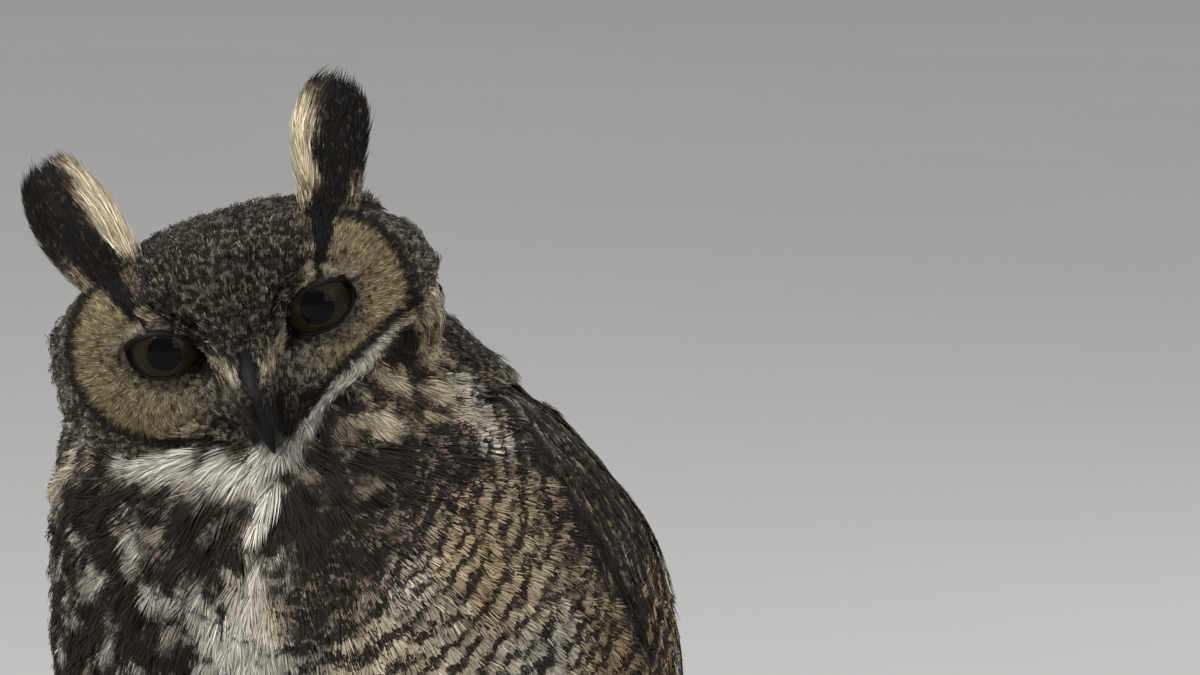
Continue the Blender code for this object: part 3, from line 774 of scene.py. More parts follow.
def head_lie(points):
    """Out from each eye, in to the chin along the lower rim, and back over crown and nape."""
    place = in_head(points)
    sign = np.sign(place[:, 0] + 1e-9)
    side, back, up = np.abs(place[:, 0]), place[:, 1], place[:, 2]
    from_eye = np.hypot(side - DISC_CENTRE, up)
    way = unit(vectors_of(side - 0.0305, 0.008, up))
    low_rim = smooth(from_eye, 0.024, 0.031) * smooth(-up, 0.012, 0.024) * fade(side, 0.036, 0.052)
    for share, own in (
        (low_rim, vectors_of(-np.abs(up) - 0.008, 0.0, -np.abs(side - DISC_CENTRE) - 0.004)),
        (smooth(up - brow_height(side), -0.002, 0.003), vectors_of(side * 6.0, 0.75, 0.65)),
        (smooth(-up, 0.010, 0.020) * fade(side, 0.008, 0.018), np.array((0.35, -0.2, -1.0))),
        (smooth(back, -0.004, 0.030), np.array((0.0, 0.25, -1.0))),
    ):
        way = way * (1.0 - share[:, None]) + unit(own) * share[:, None]
    return out_of_head(unit(way) * vectors_of(sign, 1.0, 1.0))


def tuft_lie(points):
    return out_of_head(vectors_of(0.36 * np.sign(in_head(points)[:, 0] + 1e-9), 0.42, 0.84))


# ---- materials


def new_material(name):
    material = bpy.data.materials.new(name)
    material.use_nodes = True
    return material, material.node_tree, material.node_tree.nodes["Principled BSDF"]


def set_inputs(node, values):
    """Sets a node's own sockets by their names."""
    for name, value in values.items():
        node.inputs[name].default_value = value


def feed(tree, sockets, values):
    """Gives each socket its value: a number, a colour or what comes out of another node."""
    for socket, value in zip(sockets, values):
        if isinstance(value, (int, float)):
            socket.default_value = value
        elif isinstance(value, tuple):
            socket.default_value = (*value, 1.0)
        else:
            tree.links.new(value, socket)


def math_node(tree, operation, *values):
    node = tree.nodes.new("ShaderNodeMath")
    node.operation = operation
    feed(tree, node.inputs, values)
    return node.outputs[0]


def mix_colours(tree, share, first, second):
    node = tree.nodes.new("ShaderNodeMix")
    node.data_type = "RGBA"
    feed(tree, (node.inputs[0], node.inputs[6], node.inputs[7]), (share, first, second))
    return node.outputs[2]


def attribute(tree, name):
    node = tree.nodes.new("ShaderNodeAttribute")
    node.attribute_name = name
    return node


def split(tree, colour):
    node = tree.nodes.new("ShaderNodeSeparateColor")
    tree.links.new(colour, node.inputs[0])
    return node.outputs


def noise(tree, scale, detail, roughness=0.5):
    coords = tree.nodes.new("ShaderNodeTexCoord")
    node = tree.nodes.new("ShaderNodeTexNoise")
    set_inputs(node, {"Scale": scale, "Detail": detail, "Roughness": roughness})
    tree.links.new(coords.outputs["Object"], node.inputs["Vector"])
    return node.outputs["Fac"]


def ramp(tree, value, low, high):
    node = tree.nodes.new("ShaderNodeMapRange")
    node.interpolation_type = "SMOOTHSTEP"
    set_inputs(node, {"From Min": low, "From Max": high})
    tree.links.new(value, node.inputs["Value"])
    return node.outputs["Result"]


@functools.cache
def plumage():
    """Feathers: a pale and a dark colour mixed by bars, blotches and fine specks, darkened by the painted
    shade they carry.
    """
    settings = bpy.context.scene.owl_coat
    material, tree, shader = new_material("plumage")
    pale, dark, laid = attribute(tree, "pale"), attribute(tree, "dark"), attribute(tree, "laid")
    phase, shade, base = split(tree, laid.outputs["Color"])[:3]
    large = noise(tree, 78.0, 3.0, 0.6)
    small = noise(tree, 380.0, 2.0, 0.6)
    fine = noise(tree, 800.0, 3.0, 0.7)
    unsteady = math_node(tree, "MULTIPLY_ADD", pale.outputs["Alpha"], 1.7, 0.2)
    wander = math_node(tree, "MULTIPLY_ADD", math_node(tree, "SUBTRACT", small, 0.5), unsteady, phase)
    wave = math_node(tree, "SINE", math_node(tree, "MULTIPLY", wander, 2.0 * math.pi))
    bars = math_node(tree, "MULTIPLY", math_node(tree, "MULTIPLY", wave, 0.60), dark.outputs["Alpha"])
    blend = tree.nodes.new("ShaderNodeMix")
    feed(tree, (blend.inputs[0], blend.inputs[2], blend.inputs[3]), (laid.outputs["Alpha"], small, large))
    blotch = math_node(tree, "MULTIPLY", math_node(tree, "SUBTRACT", blend.outputs[0], 0.51), 3.6)
    grain = math_node(tree, "MULTIPLY", math_node(tree, "SUBTRACT", fine, 0.5), 1.3)
    spots = math_node(tree, "MULTIPLY", math_node(tree, "ADD", blotch, grain), pale.outputs["Alpha"])
    total = math_node(tree, "ADD", math_node(tree, "ADD", base, bars), spots)
    share = ramp(tree, total, 0.24, 0.76)
    colour = mix_colours(tree, share, pale.outputs["Color"], dark.outputs["Color"])
    fleck = math_node(tree, "MULTIPLY_ADD", fine, 0.5, 0.75)
    # The stored painted shade and the fine flecks scale the colour.
    lit = math_node(tree, "MULTIPLY", math_node(tree, "MULTIPLY", shade, fleck), settings.brightness)
    final = tree.nodes.new("ShaderNodeVectorMath")
    final.operation = "SCALE"
    tree.links.new(colour, final.inputs[0])
    tree.links.new(lit, final.inputs["Scale"])
    tree.links.new(final.outputs[0], shader.inputs["Base Color"])
    set_inputs(shader, {"Roughness": settings.roughness, "Specular IOR Level": 0.20})
    return material


@functools.cache
def horn():
    settings = bpy.context.scene.owl_horn
    material, tree, shader = new_material("black horn")
    cloudy = noise(tree, 160.0, 4.0, 0.6)
    worn = tuple(value * 2.6 + 0.004 for value in settings.colour)
    colour = mix_colours(tree, ramp(tree, cloudy, 0.40, 0.75), tuple(settings.colour), worn)
    tree.links.new(colour, shader.inputs["Base Color"])
    rough = math_node(tree, "MULTIPLY_ADD", cloudy, 0.30, settings.roughness - 0.10)
    tree.links.new(rough, shader.inputs["Roughness"])
    shader.inputs["Specular IOR Level"].default_value = 0.20
    bump = tree.nodes.new("ShaderNodeBump")
    set_inputs(bump, {"Strength": 0.25, "Distance": 0.0004})
    tree.links.new(noise(tree, 420.0, 3.0), bump.inputs["Height"])
    tree.links.new(bump.outputs["Normal"], shader.inputs["Normal"])
    return material


@functools.cache
def eye_material():
    """Pupil, iris and dark rim by distance from the middle of the eye, under a wet surface, with painted
    shade towards the iris's edge.
    """
    settings = bpy.context.scene.owl_eyes
    material, tree, shader = new_material("wet eye")
    gaze = attribute(tree, "gaze")
    reach, round_axis = split(tree, gaze.outputs["Color"])[:2]
    streaks = tree.nodes.new("ShaderNodeTexNoise")
    set_inputs(streaks, {"Scale": 9.0, "Detail": 5.0})
    combine = tree.nodes.new("ShaderNodeCombineXYZ")
    tree.links.new(math_node(tree, "MULTIPLY", round_axis, 6.0), combine.inputs[0])
    tree.links.new(math_node(tree, "MULTIPLY", reach, 0.7), combine.inputs[1])
    tree.links.new(combine.outputs[0], streaks.inputs["Vector"])
    iris = tuple(settings.iris)
    deep = tuple(value * 0.30 for value in settings.iris)
    colour = mix_colours(tree, ramp(tree, streaks.outputs["Fac"], 0.30, 0.75), deep, iris)
    white = IRIS_RADIUS / EYE_RADIUS
    # Painted shade: the iris darkens towards its edge, as if it lay in a bowl.
    shaded = ramp(tree, reach, white - 0.16, white)
    colour = mix_colours(tree, shaded, colour, tuple(value * 0.35 for value in settings.iris))
    colour = mix_colours(tree, ramp(tree, reach, white, white + 0.03), colour, (0.004, 0.003, 0.003))
    pupil = settings.pupil_radius / EYE_RADIUS
    colour = mix_colours(tree, ramp(tree, reach, pupil - 0.012, pupil + 0.012), (0.002, 0.002, 0.003), colour)
    tree.links.new(colour, shader.inputs["Base Color"])
    set_inputs(shader, {"Roughness": 0.45, "Specular IOR Level": 0.0})
    set_inputs(shader, {"Coat Weight": 0.45, "Coat Roughness": 0.04, "Coat IOR": 1.34})
    return material


@functools.cache
def lid_material():
    material, tree, shader = new_material("lid skin")
    cloudy = ramp(tree, noise(tree, 700.0, 3.0), 0.35, 0.7)
    colour = mix_colours(tree, cloudy, (0.006, 0.005, 0.005), (0.016, 0.014, 0.013))
    tree.links.new(colour, shader.inputs["Base Color"])
    set_inputs(shader, {"Roughness": 0.55, "Specular IOR Level": 0.15})
    return material


# ---- skin


def put_attribute(mesh, name, values):
    found = mesh.attributes.new(name, "FLOAT_COLOR", "POINT")
    found.data.foreach_set("color", np.ascontiguousarray(values, np.float32).ravel())


def put_markings(mesh, marks, phase, shade):
    """Stores the markings and painted shade of each vertex in three attributes."""
    put_attribute(mesh, "pale", np.column_stack([marks["pale"], marks["mottle"]]))
    put_attribute(mesh, "dark", np.column_stack([marks["dark"], marks["bars"]]))
    put_attribute(mesh, "laid", np.column_stack([phase, shade, marks["base"], marks["broad"]]))


def merged_copy(bm, node, grown):
    """Adds a copy of a node's mesh to bm, with its loose triangles joined and all of it grown a little."""
    part = bmesh.new()
    part.from_mesh(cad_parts[node].data)
    bmesh.ops.remove_doubles(part, verts=part.verts, dist=0.00001)
    part.normal_update()
    places = [vert.co + vert.normal * grown for vert in part.verts]
    for vert, place in zip(part.verts, places):
        vert.co = place
    mesh = bpy.data.meshes.new("part")
    part.to_mesh(mesh)
    part.free()
    bm.from_mesh(mesh)
    bpy.data.meshes.remove(mesh)


def neighbour_mean(values, edges, times):
    """values, averaged with those of the vertices next to them."""
    count = np.bincount(edges.ravel(), minlength=len(values)).astype(float)
    for _ in range(times):
        total = np.zeros_like(values)
        np.add.at(total, edges[:, 0], values[edges[:, 1]])
        np.add.at(total, edges[:, 1], values[edges[:, 0]])
        mean = total / (count[:, None] if values.ndim > 1 else count)
        values = (values + mean) / 2
    return values


def coat_depth(points, kinds):
    """How far the skin is inside the solids at each point."""
    depth = np.array([COAT_DEPTH[kind] for kind in KINDS])[kinds]
    place = in_head(points)
    in_face = among(kinds, "head") * fade(place[:, 1], -0.030, -0.005)
    return depth + (FACE_DEPTH - depth) * in_face


def eye_axes(side):
    """An eye's middle, and the ways out to its side, up and forward."""
    turn, _ = head_frame()
    centre = np.array(middle_of("eye_left" if side > 0 else "eye_right"))
    ways = ((side, 0.0, 0.0), (0.0, 0.0, 1.0), (0.0, -1.0, 0.0))
    return centre, *(turn @ np.array(way) for way in ways)


def opening(angle):
    """How far the edge of the lids is from the pupil's middle at an angle in radians."""
    rows = np.array(LID_OPENING)
    degrees = np.degrees(angle) % 360.0
    near = [np.interp((degrees + step) % 360.0, rows[:, 0], rows[:, 1]) for step in (-9.0, -3.0, 3.0, 9.0)]
    return np.mean(near, axis=0)


def beyond_lids(points, side):
    """How far points are out from the eye's middle, outside the lids' edge, and forward of the middle."""
    centre, outward, upward, forward = eye_axes(side)
    offset = points - centre
    across, rise = offset @ outward, offset @ upward
    reach = np.hypot(across, rise)
    return reach, reach - opening(np.arctan2(rise, across)), offset @ forward


def fit_lids(places):
    """Brings the skin round each eye down to the eyeball, and tucks it under the ball inside the lids."""
    for side in (1.0, -1.0):
        forward = eye_axes(side)[3]
        reach, outside, ahead = beyond_lids(places, side)
        near = (reach < FITTED[1]) & (ahead > -0.006)
        ball = np.sqrt(EYE_RADIUS**2 - np.minimum(reach, 0.94 * EYE_RADIUS) ** 2)
        share = smooth(outside, 0.0010, 0.0095)
        wanted = (ball + 0.0003) * (1.0 - share) + np.maximum(ahead, ball - 0.004) * share
        wanted = np.where(outside < -0.0004, ball - 0.0025, wanted)
        shift = np.where(near, wanted - ahead, 0.0) * fade(reach, *FITTED)
        places = places + forward * shift[:, None]
    return places


def shorten_tufts(places, kinds):
    """Draws the thin tips of the ear tufts' skin in, so that only feathers reach their ends."""
    own = in_head(places)
    draw = TUFT_SHORTENED * np.maximum(own[:, 2] - TUFT_CUT, 0.0) * among(kinds, "tuft")
    slope = vectors_of(0.36 * np.sign(own[:, 0]), 0.42, 0.84) / 0.84
    return places - out_of_head(slope) * draw[:, None]


@functools.cache
def skin_data():
    """The skin as arrays: places, normals, faces with their areas, kinds and UVs, and a search tree."""
    mesh = bpy.data.objects["skin"].data
    places = read(mesh.vertices, "co", 3)
    starts = read(mesh.polygons, "loop_start", 1, np.int64)
    totals = read(mesh.polygons, "loop_total", 1, np.int64)
    # The corners of each face, where a triangle counts its last one twice.
    loops = starts[:, None] + np.minimum(np.arange(4), totals[:, None] - 1)
    quads = read(mesh.loops, "vertex_index", 1, np.int64)[loops]
    centres = places[quads].mean(axis=1)
    kinds = kinds_of(centres)
    for side in (1.0, -1.0):
        reach, outside, ahead = beyond_lids(centres, side)
        front = (reach < 0.024) & (ahead > -0.004)
        kinds = rekind(kinds, front & (outside > LID_BREADTH) & among(kinds, "eye"), "head")
        kinds = rekind(kinds, front & (outside <= LID_BREADTH), "eye")
    return {
        "places": places,
        "normals": read(mesh.vertices, "normal", 3),
        "quads": quads,
        "areas": read(mesh.polygons, "area"),
        "centres": centres,
        "uv": read(mesh.uv_layers["OFBake"].data, "uv", 2)[loops],
        "kinds": kinds,
        "tree": BVHTree.FromPolygons(places.tolist(), quads.tolist()),
    }


# ---- feathers


def morton(points, size=0.0008):
    """A number for each point that keeps near points near in order, by cells of this size."""
    cell = ((points - points.min(axis=0)) / size).astype(np.int64)
    code = np.zeros(len(points), np.int64)
    for bit in range(10):
        for axis in range(3):
            code |= ((cell[:, axis] >> bit) & 1) << (3 * bit + axis)
    return code


def scatter(chosen, gap, seed):
    """Roots spread evenly over the chosen faces of the skin, about a gap from each other."""
    data = skin_data()
    rng = np.random.default_rng(seed)
    faces = np.nonzero(chosen)[0]
    faces = faces[np.argsort(morton(data["centres"][faces]))]
    weight = data["areas"][faces] / np.broadcast_to(gap, chosen.shape)[faces] ** 2
    edges = np.cumsum(weight)
    count = int(edges[-1])
    at = (np.arange(count) + rng.uniform(0.2, 0.8, count)) * (edges[-1] / count)
    picked = faces[np.minimum(np.searchsorted(edges, at), len(faces) - 1)]
    a, b = rng.random((2, count, 1))
    shares = np.stack([(1 - a) * (1 - b), a * (1 - b), a * b, (1 - a) * b], axis=1)
    quads = data["quads"][picked]
    return {
        "places": (data["places"][quads] * shares).sum(axis=1),
        "normals": unit((data["normals"][quads] * shares).sum(axis=1)),
        "uv": (data["uv"][picked] * shares).sum(axis=1),
        "kinds": data["kinds"][picked],
        "rng": rng,
    }


def on_skin(points):
    """The skin's nearest place to each point, and the normal there."""
    return nearest(skin_data()["tree"], points)


def roots_at(places, kind, rng):
    """Roots for feathers whose midlines are given, each with the UV of the skin's nearest face."""
    data = skin_data()
    faces = [data["tree"].find_nearest(place)[2] for place in places.tolist()]
    kinds = np.full(len(places), KINDS.index(kind))
    return {"places": places, "uv": data["uv"][faces].mean(axis=1), "kinds": kinds, "rng": rng}


def headings(line):
    """The way each midline runs, at each of its stations."""
    runs = unit(np.diff(line, axis=1))
    return np.concatenate([runs, runs[:, -1:]], axis=1)


def lengths(line):
    """How long each midline is."""
    return np.linalg.norm(np.diff(line, axis=1), axis=2).sum(axis=1)


def trace(roots, length, jitter):
    """Midlines that follow the lie of the coat over the skin: places, normals and headings along them."""
    places, normals = roots["places"], roots["normals"]
    swing = roots["rng"].normal(0.0, jitter, len(places))
    line, ups, runs = [places], [normals], []
    for _ in range(STEPS_ALONG):
        way = lie(places, normals, roots["kinds"])
        side = np.cross(normals, way)
        way = unit(way * np.cos(swing)[:, None] + side * np.sin(swing)[:, None])
        runs.append(way)
        ahead = places + way * (length / STEPS_ALONG)[:, None]
        near, up = on_skin(ahead)
        held = (np.linalg.norm(ahead - near, axis=1) < HOLD)[:, None]
        places = np.where(held, near, ahead)
        normals = np.where(held, unit(up + normals * STEADY), normals)
        line.append(places)
        ups.append(normals)
    runs.append(runs[-1])
    return np.stack(line, axis=1), np.stack(ups, axis=1), np.stack(runs, axis=1)


def vane(strands, tip, width):
    """A soft feather's barbs, fanned from its midline: where each starts, bends and ends."""
    order = (np.arange(strands) + 0.5) / strands * 2.0 - 1.0
    side, out = np.sign(order), np.abs(order)
    start = np.stack([0.62 * (1.0 - out), 0.04 * side], axis=1)
    end = np.stack([1.0 - (1.0 - tip) * out**1.6, side * out**0.62], axis=1)
    bend = np.stack([0.45 * start[:, 0] + 0.55 * end[:, 0] - 0.02, end[:, 1] * 0.66], axis=1)
    return np.stack([start, bend, end], axis=1), np.full(strands, width), np.zeros(strands)


def quill(pairs, slant, width):
    """A stiff flight feather's barbs, in pairs along its shaft, and the shaft itself in short lengths."""
    start = np.linspace(0.02, 0.985 - slant, pairs)
    end = start + slant
    edge = np.sqrt(smooth(end, -0.02, 0.22)) * (1.0 - (1.0 - QUILL_TIP) * smooth(end, 0.74, 1.02) ** 2)
    barbs = []
    for side in (1.0, -1.0):
        for a, b, reach in zip(start, end, edge):
            barbs.append(((a, 0.0), (a + 0.42 * slant, side * 0.62 * reach), (b, side * reach)))
    widths = [width] * len(barbs)
    rises = [0.0] * len(barbs)
    for a in np.arange(0.0, 0.84, 0.14):
        barbs.append(((a, 0.0), (a + 0.10, 0.0), (a + 0.20, 0.0)))
        widths.append(0.055)
        rises.append(0.0003)
    return np.array(barbs), np.array(widths), np.array(rises)


def grow(name, roots, length, width, lift, plan, jitter=0.10, line=None, **options):
    """Grows one feather at each root, as joined meshes of at most MOST_TRIANGLES triangles each."""
    count = len(roots["places"])
    pieces = -(-count * len(plan[0]) * 3 // MOST_TRIANGLES)
    if line is None:
        line = trace(roots, length, jitter)
    for number, rows in enumerate(np.array_split(np.arange(count), pieces)):
        some = {key: value if key == "rng" else value[rows] for key, value in roots.items()}
        parts = [part[rows] for part in line]
        own_name = name if pieces == 1 else f"{name}_{number + 1}"
        grow_piece(own_name, some, length[rows], width[rows], lift[rows], plan, parts, **options)


def grow_piece(
    name,
    roots,
    length,
    width,
    lift,
    plan,
    line,
    twist=0.35,
    ragged=0.05,
    droop=0.30,
    camber=0.0,
    tone=0.22,
    own_tone=0.10,
    root_shade=0.42,
    own_bars=0.0,
    shift=0.0008,
    pale_edge=0.0,
    edge_shadow=0.0,
    streak=0.0,
    over=None,
    finish="plumage",
):
    """One joined mesh of feathers: flat tapering barbs that fan from midlines over the skin.

    Twist and ragged are how much the barbs stray, and tone and own_tone how much barbs and feathers differ in
    shade. Droop and camber are how far a feather's sides hang, by its lift and by its width.
    """
    rng = roots["rng"]
    count = len(roots["places"])
    middle, ups, runs = line
    stations = middle.shape[1] - 1
    fan, barb_width, rises = plan
    strands = len(fan)
    # Where each barb's three points are: along and across its feather.
    each = (count, strands, 1)
    along = fan[None, :, :, 0] + rng.normal(0.0, ragged, each) * np.array((0.4, 0.8, 1.0))
    across = fan[None, :, :, 1] + rng.normal(0.0, ragged * 1.3, each) * np.array((0.3, 0.8, 1.0))
    along = np.clip(along, 0.0, 1.12)
    place = np.minimum(along, 0.9999) * stations
    first = place.astype(np.int64)
    part = (place - first)[..., None]
    rows = np.arange(count)[:, None, None]

    def between(values):
        return values[rows, first] * (1 - part) + values[rows, first + 1] * part

    up, run = unit(between(ups)), unit(between(runs))
    spine = between(middle) + run * (np.maximum(along - 1.0, 0.0) * length[:, None, None])[..., None]
    side = np.cross(up, run)
    height = lift[:, None, None] * (smooth(along, -0.15, 0.75) - droop * across**2)
    height = height + lift[:, None, None] * rng.normal(0.0, 0.07, each) + rises[None, :, None]
    height = height - camber * width[:, None, None] * across**2
    bodies = spine + side * (across * width[:, None, None] / 2)[..., None] + up * height[..., None]
    # Flat ribbons along them: two edges at the first two points, and one tip.
    heading = unit(np.stack([bodies[:, :, 1] - bodies[:, :, 0], bodies[:, :, 2] - bodies[:, :, 0]], axis=2))
    flat = np.cross(up[:, :, :2], heading)
    turn = rng.normal(0.0, twist, each)
    turn = np.stack([np.cos(turn), np.sin(turn)], axis=-1)
    edge = unit(flat) * turn[..., :1] + up[:, :, :2] * turn[..., 1:]
    half = (barb_width[None, :] * width[:, None] / 2)[..., None, None] * np.array((0.55, 1.0))[:, None]
    left = bodies[:, :, :2] - edge * half
    right = bodies[:, :, :2] + edge * half
    verts = np.stack([left[:, :, 0], right[:, :, 0], left[:, :, 1], right[:, :, 1], bodies[:, :, 2]], axis=2)
    verts[..., 2] = np.maximum(verts[..., 2], LOWEST)
    start = np.arange(count * strands)[:, None] * 5
    faces = (start + np.array((0, 1, 3, 0, 3, 2, 2, 3, 4))).reshape(-1, 3)
    mesh = mesh_from(name, verts.reshape(-1, 3), faces)
    # UVs: a small patch for each feather at its root's place on the skin.
    columns = np.array((0, 0, 1, 1, 2))
    nudge = np.array((-0.5, 0.5, -0.5, 0.5, 0.0)) * 0.12
    flat_u = np.clip(along[:, :, columns], 0.0, 1.0) - 0.5
    flat_v = np.clip(across[:, :, columns] / 2.2 + nudge, -0.5, 0.5)
    uv = roots["uv"][:, None, None, :] + np.stack([flat_u, flat_v], axis=-1) * PATCH
    put_uv(mesh, uv.reshape(-1, 2), faces)
    # Markings: those of the places the feather runs over, a little shifted, and painted shade at the roots,
    # which the feathers in front cover.
    spots = middle + rng.normal(0.0, shift, (count, 1, 3))
    kinds = np.repeat(roots["kinds"], stations + 1)
    marks = markings(spots.reshape(-1, 3), kinds)
    for key, value in (over or {}).items():
        marks[key][...] = value
    phase = bar_phase(spots.reshape(-1, 3), kinds, bpy.context.scene.owl_coat.bar_spacing)
    phase = between(phase.reshape(count, -1, 1))[..., 0] + rng.normal(0.0, BAR_JITTER, (count, 1, 1))
    if own_bars:
        phase = along * (length / own_bars)[:, None, None] + rng.normal(0.0, LONG_JITTER, (count, 1, 1))
    phase = (phase - BAR_BEND * across**2)[:, :, columns]
    spread = {}
    for key, value in marks.items():
        width_of = value.shape[1] if value.ndim > 1 else 1
        found = between(value.reshape(count, stations + 1, width_of))[:, :, columns]
        spread[key] = found.reshape(-1, width_of) if value.ndim > 1 else found.ravel()
    reach = np.abs(across[:, :, columns])
    spread["base"] = spread["base"] + streak * (0.55 - smooth(reach, 0.05, 0.95)).ravel()
    shade = np.exp(rng.normal(0.0, tone, each)) * np.exp(rng.normal(0.0, own_tone, (count, 1, 1)))
    # Painted shade: each feather is darker towards its covered root.
    shade = shade * (root_shade + (1.0 - root_shade) * smooth(along[:, :, columns], 0.15, 0.62))
    shade = shade * (1.0 + pale_edge * smooth(reach, 0.45, 0.85))
    # Painted shadow along each feather's edge, where the next feather overlaps it.
    shade = shade * (1.0 - edge_shadow * smooth(reach, 0.86, 1.0))
    put_markings(mesh, spread, phase.ravel(), shade.ravel())
    mesh.materials.append(plumage())
    obj = link(bpy.data.objects.new(name, mesh))
    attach(obj, "root")


def mesh_from(name, verts, faces):
    mesh = bpy.data.meshes.new(name)
    mesh.vertices.add(len(verts))
    mesh.vertices.foreach_set("co", np.ascontiguousarray(verts, np.float32).ravel())
    mesh.loops.add(faces.size)
    mesh.loops.foreach_set("vertex_index", faces.ravel().astype(np.int32))
    mesh.polygons.add(len(faces))
    mesh.polygons.foreach_set("loop_start", np.arange(len(faces), dtype=np.int32) * 3)
    mesh.update(calc_edges=True)
    mesh.shade_smooth()
    return mesh


def put_uv(mesh, uv, faces):
    layer = mesh.uv_layers.new(name="OFBake")
    layer.data.foreach_set("uv", np.ascontiguousarray(uv[faces.ravel()], np.float32).ravel())


def full(roots, value, vary):
    """A size for each root, which varies round its value by a share."""
    return value * np.exp(roots["rng"].normal(0.0, vary, len(roots["places"])))


def cover(name, chosen, gap, seed, length, width, lift, plan, **options):
    """Covers the chosen faces of the skin. Each size is a value and the share that it varies by."""
    roots = scatter(chosen, gap, seed)
    sizes = [full(roots, *size) for size in (length, width, lift)]
    grow(name, roots, *sizes, plan, **options)


def of_kind(*names):
    return among(skin_data()["kinds"], *names)


# ---- settings


class CoatSettings(PropertyGroup):
    """Sizes of the coat."""

    voxel: FloatProperty(
        name="Skin detail", description="Size of the skin's faces", default=0.0021, unit="LENGTH"
    )
    brightness: FloatProperty(
        name="Brightness",
        description="Multiplies every colour of the coat",
        default=1.0,
        subtype="FACTOR",
        min=0.0,
        max=2.0,
    )
    roughness: FloatProperty(
        name="Roughness",
        description="How dull the feathers are",
        default=0.75,
        subtype="FACTOR",
        min=0.0,
        max=1.0,
    )
    body_length: FloatProperty(
        name="Body feather length",
        description="Length of a breast or belly feather",
        default=0.025,
        unit="LENGTH",
    )
    body_width: FloatProperty(
        name="Body feather width",
        description="Width of a breast or belly feather",
        default=0.0140,
        unit="LENGTH",
    )
    body_barbs: IntProperty(
        name="Body feather barbs",
        description="Barbs in a breast or belly feather",
        default=44,
        subtype="UNSIGNED",
    )
    bar_spacing: FloatProperty(
        name="Bar spacing",
        description="From one dark bar of the belly to the next",
        default=0.0075,
        unit="LENGTH",
    )


class EyeSettings(PropertyGroup):
    """Size and colour of the eyes."""

    # The iris is a dark amber, darker than an owl's yellow iris: its own hue with painted shade, for an eye
    # in shadow.
    iris: FloatVectorProperty(
        name="Iris", description="Colour of the iris", subtype="COLOR", size=3, default=(0.034, 0.025, 0.012)
    )
    pupil_radius: FloatProperty(
        name="Pupil radius", description="Radius of the pupil", default=0.0066, unit="LENGTH"
    )


class HornSettings(PropertyGroup):
    """Colour and finish of the bill and the claws."""

    colour: FloatVectorProperty(
        name="Horn",
        description="Colour of bill and claws",
        subtype="COLOR",
        size=3,
        default=(0.0045, 0.0045, 0.005),
    )
    roughness: FloatProperty(
        name="Roughness", description="How dull the horn is", default=0.50, subtype="FACTOR", min=0.0, max=1.0
    )


class StageSettings(PropertyGroup):
    """Floor, light and camera."""

    floor: FloatVectorProperty(
        name="Floor",
        description="Colour of the floor and backdrop",
        subtype="COLOR",
        size=3,
        default=(0.66, 0.65, 0.62),
    )
    room: FloatProperty(
        name="Room light",
        description="Strength of the light from all round",
        default=0.62,
        subtype="FACTOR",
        max=2.0,
    )
    key: FloatProperty(name="Key light", description="Power of the main light", default=30.0, unit="POWER")
    fill: FloatProperty(name="Fill light", description="Power of the fill light", default=5.0, unit="POWER")
    rim: FloatProperty(
        name="Rim light", description="Power of the light from behind", default=8.0, unit="POWER"
    )
    distance: FloatProperty(
        name="Camera distance", description="From the camera to the face", default=2.6, unit="LENGTH"
    )


# ---- operators


class OWL_OT_skin(Operator):
    """Joins the nodes of flesh into one seamless skin that lies inside them by the coat's depth"""

    bl_idname = "owl.skin"
    bl_label = "Skin"

    def execute(self, context):
        settings = context.scene.owl_coat
        bm = bmesh.new()
        grown = 0.0006
        for names in (FLESH | HARD).values():
            for name in names:
                merged_copy(bm, name, grown)
        rough = object_from(bm, "rough_skin", plumage())
        remesh = rough.modifiers.new("join", "REMESH")
        remesh.mode = "VOXEL"
        remesh.voxel_size = settings.voxel
        mesh = bpy.data.meshes.new_from_object(rough.evaluated_get(context.evaluated_depsgraph_get()))
        bpy.data.objects.remove(rough)
        mesh.name = "skin"
        skin = link(bpy.data.objects.new("skin", mesh))
        edges = read(mesh.edges, "vertices", 2, np.int64)
        places = neighbour_mean(read(mesh.vertices, "co", 3), edges, 3)
        mesh.vertices.foreach_set("co", places.ravel())
        mesh.update()
        normals = read(mesh.vertices, "normal", 3)
        kinds = kinds_of(places)
        depth = neighbour_mean(coat_depth(places, kinds) + grown, edges, 5)
        places = places - normals * depth[:, None]
        places = fit_lids(shorten_tufts(neighbour_mean(places, edges, 2), kinds))
        mesh.vertices.foreach_set("co", places.ravel())
        mesh.update()
        mesh.shade_smooth()
        context.view_layer.objects.active = skin
        skin.select_set(True)
        mesh.uv_layers.new(name="OFBake")
        bpy.ops.object.mode_set(mode="EDIT")
        bpy.ops.mesh.select_all(action="SELECT")
        bpy.ops.uv.smart_project(angle_limit=math.radians(66.0), island_margin=0.002)
        bpy.ops.object.mode_set(mode="OBJECT")
        skin.select_set(False)
        marks = markings(places, kinds)
        # The skin's shade of 0.55 is painted shade under the coat.
        put_markings(mesh, marks, bar_phase(places, kinds, settings.bar_spacing), np.full(len(places), 0.55))
        if not mesh.materials:
            mesh.materials.append(plumage())
        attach(skin, "root")
        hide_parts(*[name for names in FLESH.values() for name in names])
        return {"FINISHED"}


